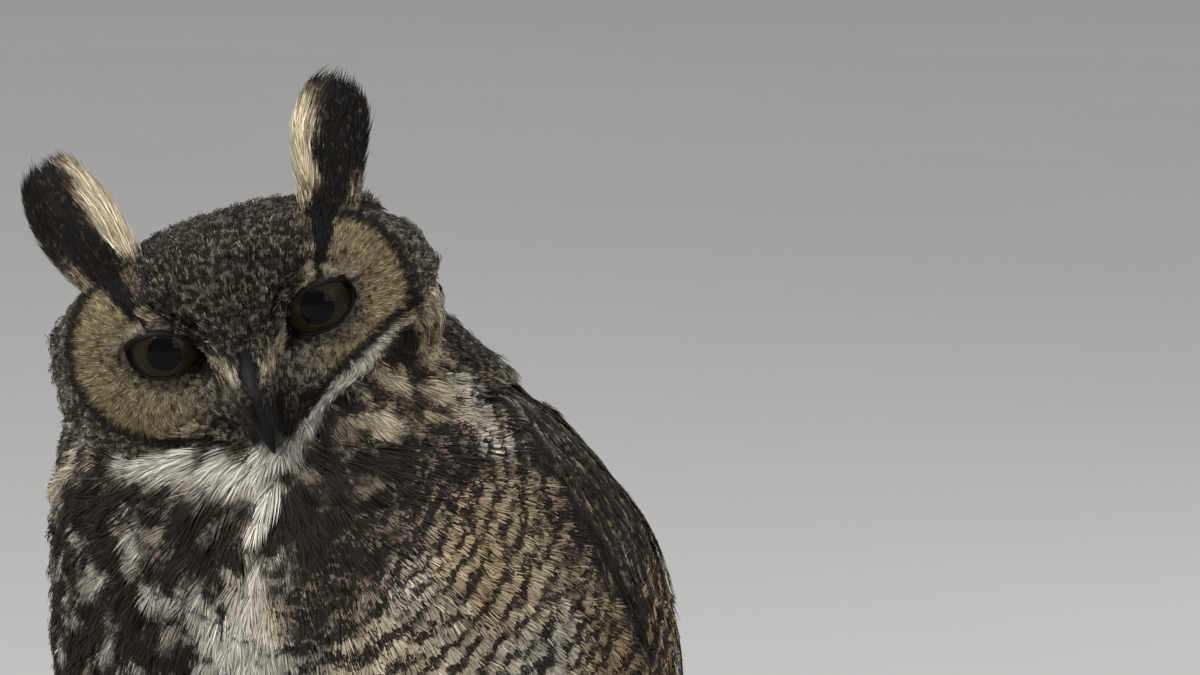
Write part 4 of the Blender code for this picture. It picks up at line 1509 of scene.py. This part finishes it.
class OWL_OT_body_coat(Operator):
    """Covers neck, breast, belly and back with soft feathers"""

    bl_idname = "owl.body_coat"
    bl_label = "Body coat"

    def execute(self, context):
        settings = context.scene.owl_coat
        data = skin_data()
        height = data["centres"][:, 2]
        turn = np.abs(turn_round(data["centres"]))
        body = of_kind("trunk")
        plan = vane(settings.body_barbs, 0.58, 0.036)
        coarse = vane(settings.body_barbs * 2 // 3, 0.58, 0.050)
        parts = (
            ("breast_coat", body & (turn < 1.5) & (height > 0.145), 0.0044, 11, plan),
            ("belly_coat", body & (turn < 1.5) & (height <= 0.145), 0.0058, 12, coarse),
            ("back_coat", body & (turn >= 1.5), 0.0062, 13, coarse),
        )
        for name, chosen, gap, seed, barbs in parts:
            roots = scatter(chosen, gap, seed)
            # Feathers under the belly are shorter, and shortest where the surface faces down.
            share = 0.62 + 0.38 * smooth(roots["places"][:, 2], 0.085, 0.140)
            share *= 1.0 - 0.5 * smooth(-roots["normals"][:, 2], 0.45, 0.85)
            grow(
                name,
                roots,
                full(roots, settings.body_length, 0.10) * share,
                full(roots, settings.body_width, 0.12),
                full(roots, 0.0060, 0.14) * np.minimum(1.0, 0.3 + share),
                barbs,
            )
        cover(
            "neck_coat",
            of_kind("neck"),
            gap=0.0038,
            seed=14,
            length=(0.0190, 0.10),
            width=(0.0095, 0.10),
            lift=(0.0046, 0.14),
            plan=vane(34, 0.58, 0.044),
        )
        return {"FINISHED"}


class OWL_OT_head_coat(Operator):
    """Covers face, crown and nape, with the smallest feathers on the face"""

    bl_idname = "owl.head_coat"
    bl_label = "Head coat"

    def execute(self, context):
        data = skin_data()
        place = in_head(data["centres"])
        side, back, up = np.abs(place[:, 0]), place[:, 1], place[:, 2]
        head = of_kind("head")
        from_eye = np.hypot(side - DISC_CENTRE, up)
        below = up < brow_height(side) + 0.003
        face = head & (back < 0.004) & (from_eye < DISC_RADIUS + 0.004) & (below | (side > 0.034))
        chin = head & (back < 0.004) & (up < -0.020) & (side < 0.030)
        spacing = 0.00095 + 0.0005 * smooth(from_eye, 0.016, 0.034)
        roots = scatter(face | chin, spacing, 21)
        own = in_head(roots["places"])
        reach = np.hypot(np.abs(own[:, 0]) - DISC_CENTRE, own[:, 2])
        size = 0.0042 + 0.0048 * smooth(reach, 0.012, 0.027)
        grow(
            "face_coat",
            roots,
            full(roots, size, 0.14),
            full(roots, 0.0030, 0.14),
            0.0011 + 0.0015 * smooth(reach, 0.012, 0.028),
            vane(8, 0.55, 0.080),
            twist=0.5,
            ragged=0.08,
            jitter=0.16,
            root_shade=0.55,
            tone=0.34,
            shift=0.0005,
        )
        cover(
            "crown_coat",
            head & ~face & ~chin,
            gap=0.0022,
            seed=22,
            length=(0.0100, 0.16),
            width=(0.0056, 0.14),
            lift=(0.0036, 0.18),
            plan=vane(14, 0.55, 0.070),
            twist=0.45,
            ragged=0.07,
            jitter=0.18,
            tone=0.35,
            shift=0.0006,
        )
        self.add_bristles(side, back, up, of_kind("head", "bill"))
        return {"FINISHED"}

    def add_bristles(self, side, back, up, head):
        """Stiff bristles that reach from both sides of the bill's root over its sides."""
        chosen = head & (side > 0.0035) & (side < 0.0170) & (up > -0.0300) & (up < 0.0020) & (back < -0.030)
        roots = scatter(chosen, 0.00105, 24)
        place = in_head(roots["places"])
        count = len(place)
        rng = roots["rng"]
        sign = np.sign(place[:, 0])
        side, up = np.abs(place[:, 0]), place[:, 2]
        # Each bends from its root out in front of the face and then down along the bill.
        reach = np.exp(rng.normal(0.0, 0.16, count))
        fall = 0.0105 * reach + 0.0050 * smooth(side, 0.004, 0.016)
        end = vectors_of(
            0.0020 + 0.30 * (side - 0.0035) + rng.normal(0.0, 0.0008, count),
            place[:, 1] - 0.0120 * reach * (1.0 - 0.45 * smooth(side, 0.006, 0.016)),
            up - fall,
        )
        first = vectors_of(side, place[:, 1], up)
        bend = 0.5 * (first + end) + np.array((0.0022, -0.0020, 0.0022))
        steps = 5
        line = []
        for step in range(steps + 1):
            t = step / steps
            line.append(first * (1 - t) ** 2 + bend * 2 * t * (1 - t) + end * t**2)
        line = np.stack(line, axis=1) * vectors_of(sign, 1.0, 1.0)[:, None, :]
        runs = headings(line)
        ups = tangent(vectors_of(sign * 0.6, -0.8, 0.3)[:, None, :], runs)
        turn, origin = head_frame()
        middle = self.clear_of_bill(line @ turn.T + origin)
        grow(
            "bristles",
            roots,
            lengths(line),
            full(roots, 0.0026, 0.15),
            full(roots, 0.0003, 0.2),
            vane(5, 0.60, 0.085),
            line=(middle, out_of_head(ups), out_of_head(runs)),
            twist=0.6,
            ragged=0.09,
            tone=0.50,
            root_shade=0.45,
        )

    def clear_of_bill(self, line):
        """Moves places that are in the upper bill, or too near it, out over its surface."""
        places, corners = mesh_arrays(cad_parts["bill_upper"].data)
        tree = BVHTree.FromPolygons(places.tolist(), corners.tolist())
        flat = line.reshape(-1, 3)
        near, normals = nearest(tree, flat)
        rise = np.sum((flat - near) * normals, axis=1)
        flat = flat + normals * np.maximum(BRISTLE_GAP - rise, 0.0)[:, None]
        return flat.reshape(line.shape)


class OWL_OT_tufts(Operator):
    """Grows the ear tufts' long feathers"""

    bl_idname = "owl.tufts"
    bl_label = "Ear tufts"

    def execute(self, context):
        rng = np.random.default_rng(23)
        turn, origin = head_frame()
        steps = 5
        for side_name, side in SIDES:
            rows = np.array(TUFTS[side])
            marks = np.linspace(0.0, 1.0, len(rows))
            count = 600
            start = rng.uniform(-0.06, 0.57, count)
            span = rng.uniform(0.34, 0.45, count)
            across = rng.uniform(-1.0, 1.0, count)
            face = np.where(rng.random(count) < 0.62, -1.0, 1.0)
            wild = (np.abs(across) > 0.72) * rng.uniform(-0.2, 1.0, count)
            line, ups = [], []
            for step in range(steps + 1):
                t = start + span * step / steps
                inside = np.clip(t, 0.0, 1.0)
                row = np.stack([np.interp(inside, marks, rows[:, i]) for i in range(5)], axis=1)
                near = [np.clip(inside + reach, 0.0, 1.0) for reach in (0.05, -0.05)]
                ends = [np.stack([np.interp(at, marks, rows[:, i]) for i in range(3)], axis=1) for at in near]
                run = unit(ends[0] - ends[1])
                ahead = np.array((0.30, -1.0, 0.35))
                front = unit(ahead - run * (run @ ahead)[:, None])
                broad = np.cross(front, run)
                broad = broad * np.sign(broad[:, :1])
                place = row[:, :3] + run * (np.maximum(t - 1.0, 0.0) * 0.050)[:, None]
                stray = 0.0026 * wild * np.sign(across) * step / steps
                place = place + broad * (across * (row[:, 3] * 0.88) + stray)[:, None]
                bulge = row[:, 4] * 0.72 * np.sqrt(np.maximum(0.0, 1.0 - across**2))
                place = place - front * (face * bulge)[:, None]
                line.append(place)
                ups.append(unit(-front * face[:, None] + broad * (0.6 * across)[:, None]))
            line = np.stack(line, axis=1) * np.array((side, 1.0, 1.0))
            ups = np.stack(ups, axis=1) * np.array((side, 1.0, 1.0))
            middle = line @ turn.T + origin
            roots = roots_at(middle[:, 0], "tuft", rng)
            grow(
                "ear_tuft_coat_" + side_name,
                roots,
                lengths(line),
                full(roots, 0.0066, 0.15),
                full(roots, 0.0012, 0.30),
                vane(22, 0.60, 0.052),
                line=(middle, out_of_head(ups), out_of_head(headings(line))),
                twist=0.40,
                ragged=0.085,
                tone=0.42,
                root_shade=0.70,
                finish="dark_plumage",
            )
        self.add_curl()
        return {"FINISHED"}

    def add_curl(self):
        """A small raised curl of feathers on the head's edge behind the left tuft."""
        rng = np.random.default_rng(25)
        count, steps = 90, 5
        turn, origin = head_frame()
        low, high = np.array((0.0580, 0.0040, 0.0230)), np.array((0.0680, 0.0200, 0.0310))
        places, normals = on_skin((low + (high - low) * rng.random((count, 3))) @ turn.T + origin)
        way = tangent(out_of_head(np.tile((0.45, 0.25, 0.85), (count, 1))), normals)
        rise = rng.uniform(0.35, 0.75, count)[:, None]
        run = unit(way + normals * rise)
        fall = out_of_head(np.tile((0.75, 0.15, -0.65), (count, 1)))
        length = np.exp(rng.normal(math.log(0.0105), 0.15, count))
        t = np.linspace(0.0, 1.0, steps + 1)[None, :, None]
        middle = places[:, None] + length[:, None, None] * (run[:, None] * t + fall[:, None] * 0.45 * t**2.2)
        runs = headings(middle)
        ups = tangent(normals[:, None], runs)
        roots = roots_at(places, "head", rng)
        grow(
            "head_curl",
            roots,
            length,
            full(roots, 0.0048, 0.15),
            full(roots, 0.0008, 0.20),
            vane(14, 0.55, 0.070),
            line=(middle, ups, runs),
            twist=0.4,
            ragged=0.08,
            tone=0.35,
        )


class OWL_OT_leg_coat(Operator):
    """Covers legs and feet with short, hair-like feathers"""

    bl_idname = "owl.leg_coat"
    bl_label = "Leg and foot coat"

    def execute(self, context):
        cover(
            "leg_coat",
            of_kind("leg"),
            gap=0.0026,
            seed=31,
            length=(0.0120, 0.12),
            width=(0.0050, 0.12),
            lift=(0.0030, 0.15),
            plan=vane(9, 0.55, 0.10),
            twist=0.5,
            finish="pale_plumage",
        )
        above_soles = skin_data()["centres"][:, 2] > 0.0022
        cover(
            "foot_coat",
            of_kind("foot") & above_soles,
            gap=0.0017,
            seed=32,
            length=(0.0052, 0.14),
            width=(0.0026, 0.12),
            lift=(0.0012, 0.18),
            plan=vane(6, 0.55, 0.13),
            twist=0.5,
            finish="pale_plumage",
        )
        return {"FINISHED"}


def skin_at(degrees, height, side):
    """The skin's surface at an angle round from the front and a height, seen from outside."""
    angle = math.radians(degrees)
    way = Vector((math.sin(angle) * side, -math.cos(angle), 0.0))
    middle = Vector(BODY_AXIS.tolist()) + Vector((0.0, 0.0, height))
    return np.array(skin_data()["tree"].ray_cast(middle + way * 0.4, -way)[0])


def lay_feathers(name, paths, kind, seed, width, lift, bar, pairs):
    """Lays long, stiff feathers one by one along paths that are near the skin."""
    middle, ups = [values.reshape(paths.shape) for values in on_skin(paths.reshape(-1, 3))]
    for _ in range(3):
        for values in (middle, ups):
            values[:, 1:-1] = (values[:, :-2] + 2.0 * values[:, 1:-1] + values[:, 2:]) / 4.0
    ups = unit(ups)
    length = lengths(middle)
    roots = roots_at(paths[:, 0], kind, np.random.default_rng(seed))
    stiff = {
        "twist": 0.10,
        "ragged": 0.004,
        "droop": 0.12,
        "camber": 0.05,
        "tone": 0.16,
        "root_shade": 0.55,
        "own_bars": bar,
        "pale_edge": 0.60,
        "own_tone": 0.22,
        "streak": 0.25,
        "edge_shadow": 0.75,
        "over": {"mottle": 0.16},
        "finish": "dark_plumage",
    }
    slant = float(np.clip(0.55 * width / length.mean(), 0.05, 0.30))
    plan = quill(pairs, slant, STIFF_BARB / width)
    line = (middle, ups, headings(middle))
    grow(name, roots, length, full(roots, width, 0.02), lift, plan, line=line, **stiff)


def folded(s):
    """Both ends of a folded flight feather, 0 the lowest and 1 the innermost: degrees round and height."""
    root = np.array((82.0 + 50.0 * s, 0.148 + 0.074 * s))
    tip = np.array((171.0 + 3.0 * s, 0.060 + 0.092 * s))
    return root, tip


def wing_path(s, start, end, side, stations):
    """Places along one folded feather's path, between two shares of the way from its root to its tip."""
    root, tip = folded(s)
    places = []
    for t in np.linspace(start, end, stations):
        spot = root + (tip - root) * t
        # The path sags a little in its middle.
        sag = SAG * math.sin(math.pi * min(max(t, 0.0), 1.0))
        places.append(skin_at(spot[0], spot[1] - sag, side))
    return places


class OWL_OT_wing_coat(Operator):
    """Covers the folded wings with coverts, and lays the flight feathers along them"""

    bl_idname = "owl.wing_coat"
    bl_label = "Wing feathers"

    def execute(self, context):
        data = skin_data()
        height = data["centres"][:, 2]
        turn = np.degrees(np.abs(turn_round(data["centres"])))
        share = np.clip((turn - 82.0) / 50.0, 0.0, 1.0)
        upper = of_kind("wing") & (height > 0.166 + 0.070 * share)
        cover(
            "lesser_coverts",
            upper,
            gap=0.0058,
            seed=41,
            length=(0.0250, 0.08),
            width=(0.0125, 0.08),
            lift=(0.0028, 0.10),
            plan=vane(52, 0.62, 0.036),
            ragged=0.03,
            twist=0.22,
            jitter=0.07,
            tone=0.30,
            pale_edge=0.90,
            streak=0.60,
            root_shade=0.30,
            own_tone=0.20,
            over={"bars": 0.10},
            finish="dark_plumage",
        )
        low = height < lowest_path(np.radians(turn)) + 0.016
        cover(
            "wing_down",
            of_kind("primary") | (of_kind("wing") & ~upper & low),
            gap=0.0060,
            seed=44,
            length=(0.0200, 0.10),
            width=(0.0120, 0.10),
            lift=(0.0016, 0.15),
            plan=vane(30, 0.60, 0.045),
            finish="dark_plumage",
        )
        # Rows: start and end along the paths, feathers, width, lift, length of a bar, pairs of barbs.
        rows = (
            ("flight_feathers", 0.00, 1.00, 16, 0.0235, 0.0020, 0.0140, 210),
            ("greater_coverts", -0.16, 0.30, 14, 0.0200, 0.0036, 0.0100, 90),
            ("median_coverts", -0.30, 0.08, 14, 0.0180, 0.0042, 0.0090, 70),
        )
        for side_name, side in SIDES:
            for number, (name, start, end, count, width, lift, bar, pairs) in enumerate(rows):
                shares = np.linspace(0.0, 1.0, count)
                stations = 13 if end > 0.5 else 6
                paths = np.array([wing_path(s, start, end, side, stations) for s in shares])
                lifts = lift + 0.0020 * shares
                lay_feathers(f"{name}_{side_name}", paths, "wing", 50 + number, width, lifts, bar, pairs)
            self.add_primaries(side_name, side)
        self.add_tail()
        return {"FINISHED"}

    def add_primaries(self, side_name, side):
        """The long feathers of the wing tip, over their node."""
        low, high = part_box("primaries_left")
        shares = np.linspace(0.0, 1.0, 6)
        steps = np.linspace(0.0, 1.0, 11)[:, None]
        paths = []
        for share in shares:
            root_x = high[0] - 0.012 - 0.022 * share
            tip_x = low[0] + 0.044 - 0.028 * share
            first = np.array((root_x, low[1] - 0.004, high[2] + 0.012 + 0.006 * share))
            last = np.array((tip_x, high[1] - 0.014 + 0.010 * share, low[2] + 0.018))
            paths.append((first * (1.0 - steps) + last * steps) * np.array((side, 1.0, 1.0)))
        lifts = 0.0014 + 0.0012 * shares
        lay_feathers("primary_tips_" + side_name, np.array(paths), "primary", 61, 0.0175, lifts, 0.0140, 130)

    def add_tail(self):
        """Twelve tail feathers, the middle pair on top, and soft coverts over and under their roots."""
        near_root = skin_data()["centres"][:, 1] < 0.100
        cover(
            "tail_coverts",
            of_kind("tail") & near_root,
            gap=0.0070,
            seed=42,
            length=(0.0300, 0.10),
            width=(0.0180, 0.10),
            lift=(0.0020, 0.15),
            plan=vane(34, 0.62, 0.048),
            ragged=0.03,
            twist=0.22,
            jitter=0.05,
            finish="dark_plumage",
        )
        self.add_upper_coverts()
        low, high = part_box("tail")
        places = (np.arange(12) + 0.5) / 6.0 - 1.0
        middles = 1.0 - np.abs(places)
        for name, over, seed in (("tail_feathers", 1.0, 43), ("tail_undersides", -1.0, 45)):
            paths = []
            for place in places:
                steps = np.linspace(0.0, 1.0, 13)
                across = place * (0.018 + (high[0] - 0.028) * steps)
                back = low[1] + 0.014 + (high[1] - 0.014 - 0.004 * abs(place) - low[1]) * steps - 0.004
                height = (high[2] - 0.006) * (1.0 - steps) ** 1.25 + 0.004 + over * 0.030
                paths.append(np.column_stack([across, back, height]))
            lifts = (0.0012 + 0.0016 * middles) if over > 0.0 else (0.0006 + 0.0006 * middles)
            lay_feathers(name, np.array(paths), "tail", seed, 0.0190, lifts, 0.0150, 150)

    def add_upper_coverts(self):
        """Rows of long coverts from the rump over the tail's root, between the wing tips."""
        low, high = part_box("tail")
        slope = (high[2] - low[2]) / (high[1] - low[1])
        # Each row: how far back and how high it starts, how far back it ends, and how high over the tail.
        rows = (
            (0.050, 0.116, 0.086, 0.024),
            (0.049, 0.102, 0.090, 0.018),
            (0.046, 0.088, 0.096, 0.013),
            (0.058, 0.068, 0.110, 0.009),
        )
        middle, ups = [], []
        for number, (back, height, last, over) in enumerate(rows):
            end = high[2] * (1.0 - (last - low[1]) / (high[1] - low[1])) ** 1.25 + over
            for across in np.linspace(-0.030, 0.030, 7) + 0.004 * (number % 2):
                steps = np.linspace(0.0, 1.0, 7)
                heights = height + (end - height) * steps**0.85 - 8.0 * across**2
                outs = across * (1.0 + 0.2 * steps)
                middle.append(np.column_stack([outs, back + (last - back) * steps, heights]))
                ups.append(np.tile((3.0 * across, slope * 1.6, 1.0), (7, 1)))
        middle, ups = np.array(middle), unit(np.array(ups))
        roots = roots_at(middle[:, 0], "tail", np.random.default_rng(46))
        grow(
            "upper_tail_coverts",
            roots,
            lengths(middle),
            full(roots, 0.0190, 0.06),
            full(roots, 0.0020, 0.15),
            vane(60, 0.62, 0.034),
            line=(middle, ups, headings(middle)),
            ragged=0.03,
            twist=0.22,
            own_bars=0.0130,
            finish="dark_plumage",
        )


class OWL_OT_eyes(Operator):
    """Sets the eyes and their lids"""

    bl_idname = "owl.eyes"
    bl_label = "Eyes and lids"

    def execute(self, context):
        for side_name, side in SIDES:
            centre, outward, upward, forward = eye_axes(side)
            bm = bmesh.new()
            bmesh.ops.create_uvsphere(bm, u_segments=64, v_segments=48, radius=EYE_RADIUS)
            # Its faces come in another order on each run, so they are put in order by their places.
            ranked = sorted(bm.faces, key=lambda face: [round(part, 6) for part in face.calc_center_median()])
            rank = {face: number for number, face in enumerate(ranked)}
            bm.faces.sort(key=rank.get)
            for vert in bm.verts:
                vert.co = Vector(centre + vert.co.x * outward + vert.co.y * upward + vert.co.z * forward)
            bmesh.ops.recalc_face_normals(bm, faces=bm.faces)
            eye = object_from(bm, "eyeball_" + side_name, eye_material())
            places, _ = mesh_arrays(eye.data)
            offset = (places - centre) / EYE_RADIUS
            reach = np.hypot(offset @ outward, offset @ upward)
            reach = np.where(offset @ forward > 0.0, reach, 1.2)
            angle = np.abs(np.arctan2(offset @ upward, offset @ outward))
            put_attribute(eye.data, "gaze", np.column_stack([reach, angle, angle, np.ones(len(reach))]))
            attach(eye, "root")
            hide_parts("eye_" + side_name)
            self.add_lid(side_name, centre, outward, upward, forward)
        return {"FINISHED"}

    def add_lid(self, side_name, centre, outward, upward, forward):
        """A thin fold of bare skin over the eyeball, open in the middle, with a rounded edge."""
        count = 96
        around = np.arange(count) / count * 2.0 * math.pi
        edge = opening(around)
        # The upper lid and the corners are broader than the lower lid: black lid skin, widened to stand for
        # painted shade under the brow.
        broad = 0.75 + 0.75 * smooth(np.sin(around), -0.3, 0.5) + 0.6 * smooth(-np.cos(around), 0.55, 0.95)
        # Rings from inside the edge, over it and out under the feathers: how far out, and how high over the
        # eyeball.
        profile = (
            (0.0003, 0.0000),
            (-0.0002, 0.0003),
            (0.0000, 0.0007),
            (0.0005, 0.0008),
            (0.0012, 0.0004),
            (0.0024, -0.0008),
        )
        bm = bmesh.new()
        rings = []
        for out, rise in profile:
            ring = []
            for angle, start, stretch in zip(around, edge, broad):
                reach = start + out * stretch
                height = math.sqrt(max(EYE_RADIUS**2 - reach**2, (0.30 * EYE_RADIUS) ** 2)) + rise
                flat = (math.cos(angle) * outward + math.sin(angle) * upward) * reach
                ring.append(bm.verts.new(Vector(centre + flat + forward * height)))
            rings.append([bm.edges.new((ring[i - 1], ring[i])) for i in range(count)])
        for inner, outer in zip(rings, rings[1:]):
            bmesh.ops.bridge_loops(bm, edges=inner + outer)
        bmesh.ops.recalc_face_normals(bm, faces=bm.faces)
        lid = object_from(bm, "eyelids_" + side_name, lid_material())
        if sum(face.normal.dot(Vector(forward)) for face in lid.data.polygons) < 0.0:
            lid.data.flip_normals()
        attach(lid, "root")


class OWL_OT_horn(Operator):
    """Smooths the bill and the claws"""

    bl_idname = "owl.horn"
    bl_label = "Bill and claws"

    def execute(self, context):
        names = [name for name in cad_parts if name.startswith(("bill_", "claw_"))]
        for name in sorted(names):
            bm = bmesh.new()
            merged_copy(bm, name, 0.0)
            piece = object_from(bm, name + "_horn", horn())
            levels = piece.modifiers.new("smooth", "SUBSURF")
            levels.levels = 2
            levels.render_levels = 2
            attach(piece, "root")
            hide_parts(name)
        return {"FINISHED"}


class OWL_OT_stage(Operator):
    """Sets the floor, the soft lights and the camera"""

    bl_idname = "owl.stage"
    bl_label = "Stage"

    def execute(self, context):
        settings = context.scene.owl_stage
        material, tree, shader = new_material("pale_floor")
        tone = tuple(value * 0.975 for value in settings.floor)
        colour = mix_colours(tree, ramp(tree, noise(tree, 1.5, 3.0), 0.3, 0.7), tone, tuple(settings.floor))
        tree.links.new(colour, shader.inputs["Base Color"])
        shader.inputs["Roughness"].default_value = 0.9
        # A round floor that curves up into a wall all round, far outside every view.
        bm = bmesh.new()
        profile = [(0.0, 0.0)] + [(flat, 0.0) for flat in (1.0, 3.0, 5.0, 7.0)]
        for angle in np.linspace(0.1, math.pi / 2, 14):
            profile.append((7.0 + 2.5 * math.sin(angle), 2.5 - 2.5 * math.cos(angle)))
        profile.append((9.5, 5.0))
        verts = [bm.verts.new((out, 0.0, height)) for out, height in profile]
        edges = [bm.edges.new(pair) for pair in zip(verts, verts[1:])]
        bmesh.ops.spin(
            bm,
            geom=verts + edges,
            cent=(0, 0, 0),
            axis=(0, 0, 1),
            angle=2.0 * math.pi,
            steps=64,
            use_merge=True,
        )
        bmesh.ops.remove_doubles(bm, verts=bm.verts, dist=0.0001)
        bmesh.ops.recalc_face_normals(bm, faces=bm.faces)
        floor = object_from(bm, "floor", material)
        if floor.data.polygons[0].normal.z < 0.0:
            floor.data.flip_normals()
        world = bpy.data.worlds.new("soft room")
        context.scene.world = world
        world.use_nodes = True
        world.node_tree.nodes["Background"].inputs[0].default_value = (0.93, 0.96, 1.0, 1.0)
        world.node_tree.nodes["Background"].inputs[1].default_value = settings.room
        for name, power, size, place in (
            ("key", settings.key, 1.3, (-0.70, -1.60, 1.90)),
            ("fill", settings.fill, 1.2, (1.9, -1.3, 1.0)),
            ("rim", settings.rim, 0.8, (1.0, 1.4, 1.5)),
        ):
            light = bpy.data.lights.new(name, "AREA")
            light.energy = power
            light.size = size
            obj = link(bpy.data.objects.new(name, light))
            obj.visible_camera = False
            obj.location = place
            aim = Vector((0.0, -0.05, 0.22)) - Vector(place)
            obj.rotation_euler = aim.to_track_quat("-Z", "Y").to_euler()
        self.add_camera(context, settings)
        context.scene.view_settings.view_transform = "Standard"
        return {"FINISHED"}

    def add_camera(self, context, settings):
        """The camera looks from the owl's left front, with the face left of the picture's middle."""
        camera = bpy.data.cameras.new("camera")
        obj = link(bpy.data.objects.new("camera", camera))
        turn, origin = head_frame()
        face = Vector(origin + turn @ np.array((0.0, -0.045, 0.0)))
        level = math.cos(VIEW_ELEVATION)
        across, behind = math.sin(VIEW_AZIMUTH) * level, -math.cos(VIEW_AZIMUTH) * level
        back = Vector((across, behind, math.sin(VIEW_ELEVATION)))
        camera.sensor_width = 36.0
        camera.lens = camera.sensor_width * settings.distance / VIEW_WIDTH
        camera.clip_start = 0.1
        camera.clip_end = 100.0
        obj.location = face + back * settings.distance
        left = -FACE_LEFT * VIEW_WIDTH / settings.distance
        look = Vector((left, FACE_UP * VIEW_WIDTH / settings.distance, -1.0)).normalized()
        aim = (-back).to_track_quat("-Z", "Y")
        obj.rotation_mode = "QUATERNION"
        obj.rotation_quaternion = aim @ Vector((0.0, 0.0, -1.0)).rotation_difference(look).inverted()
        context.scene.camera = obj


class OWL_PT_panel(Panel):
    """Lists the settings and the pieces"""

    bl_label = "Great horned owl"
    bl_idname = "OWL_PT_panel"
    bl_space_type = "VIEW_3D"
    bl_region_type = "UI"
    bl_category = "Owl"

    def draw(self, context):
        for name, _ in SETTINGS:
            settings = getattr(context.scene, name)
            column = self.layout.column()
            for key in settings.bl_rna.properties.keys():
                if key not in ("rna_type", "name"):
                    column.prop(settings, key)
        for step in STEPS:
            self.layout.operator(step.bl_idname)


STEPS = (
    OWL_OT_stage,
    OWL_OT_skin,
    OWL_OT_eyes,
    OWL_OT_horn,
    OWL_OT_body_coat,
    OWL_OT_head_coat,
    OWL_OT_tufts,
    OWL_OT_leg_coat,
    OWL_OT_wing_coat,
)
SETTINGS = (
    ("owl_coat", CoatSettings),
    ("owl_eyes", EyeSettings),
    ("owl_horn", HornSettings),
    ("owl_stage", StageSettings),
)


def register():
    for name, group in SETTINGS:
        bpy.utils.register_class(group)
        setattr(bpy.types.Scene, name, PointerProperty(type=group))
    for step in STEPS:
        bpy.utils.register_class(step)
    bpy.utils.register_class(OWL_PT_panel)


def unregister():
    bpy.utils.unregister_class(OWL_PT_panel)
    for step in reversed(STEPS):
        bpy.utils.unregister_class(step)
    for name, group in reversed(SETTINGS):
        delattr(bpy.types.Scene, name)
        bpy.utils.unregister_class(group)


def main():
    register()
    bpy.ops.owl.stage()
    bpy.ops.owl.skin()
    bpy.ops.owl.eyes()
    bpy.ops.owl.horn()
    bpy.ops.owl.body_coat()
    bpy.ops.owl.head_coat()
    bpy.ops.owl.tufts()
    bpy.ops.owl.leg_coat()
    bpy.ops.owl.wing_coat()


if __name__ == "__main__":
    main()
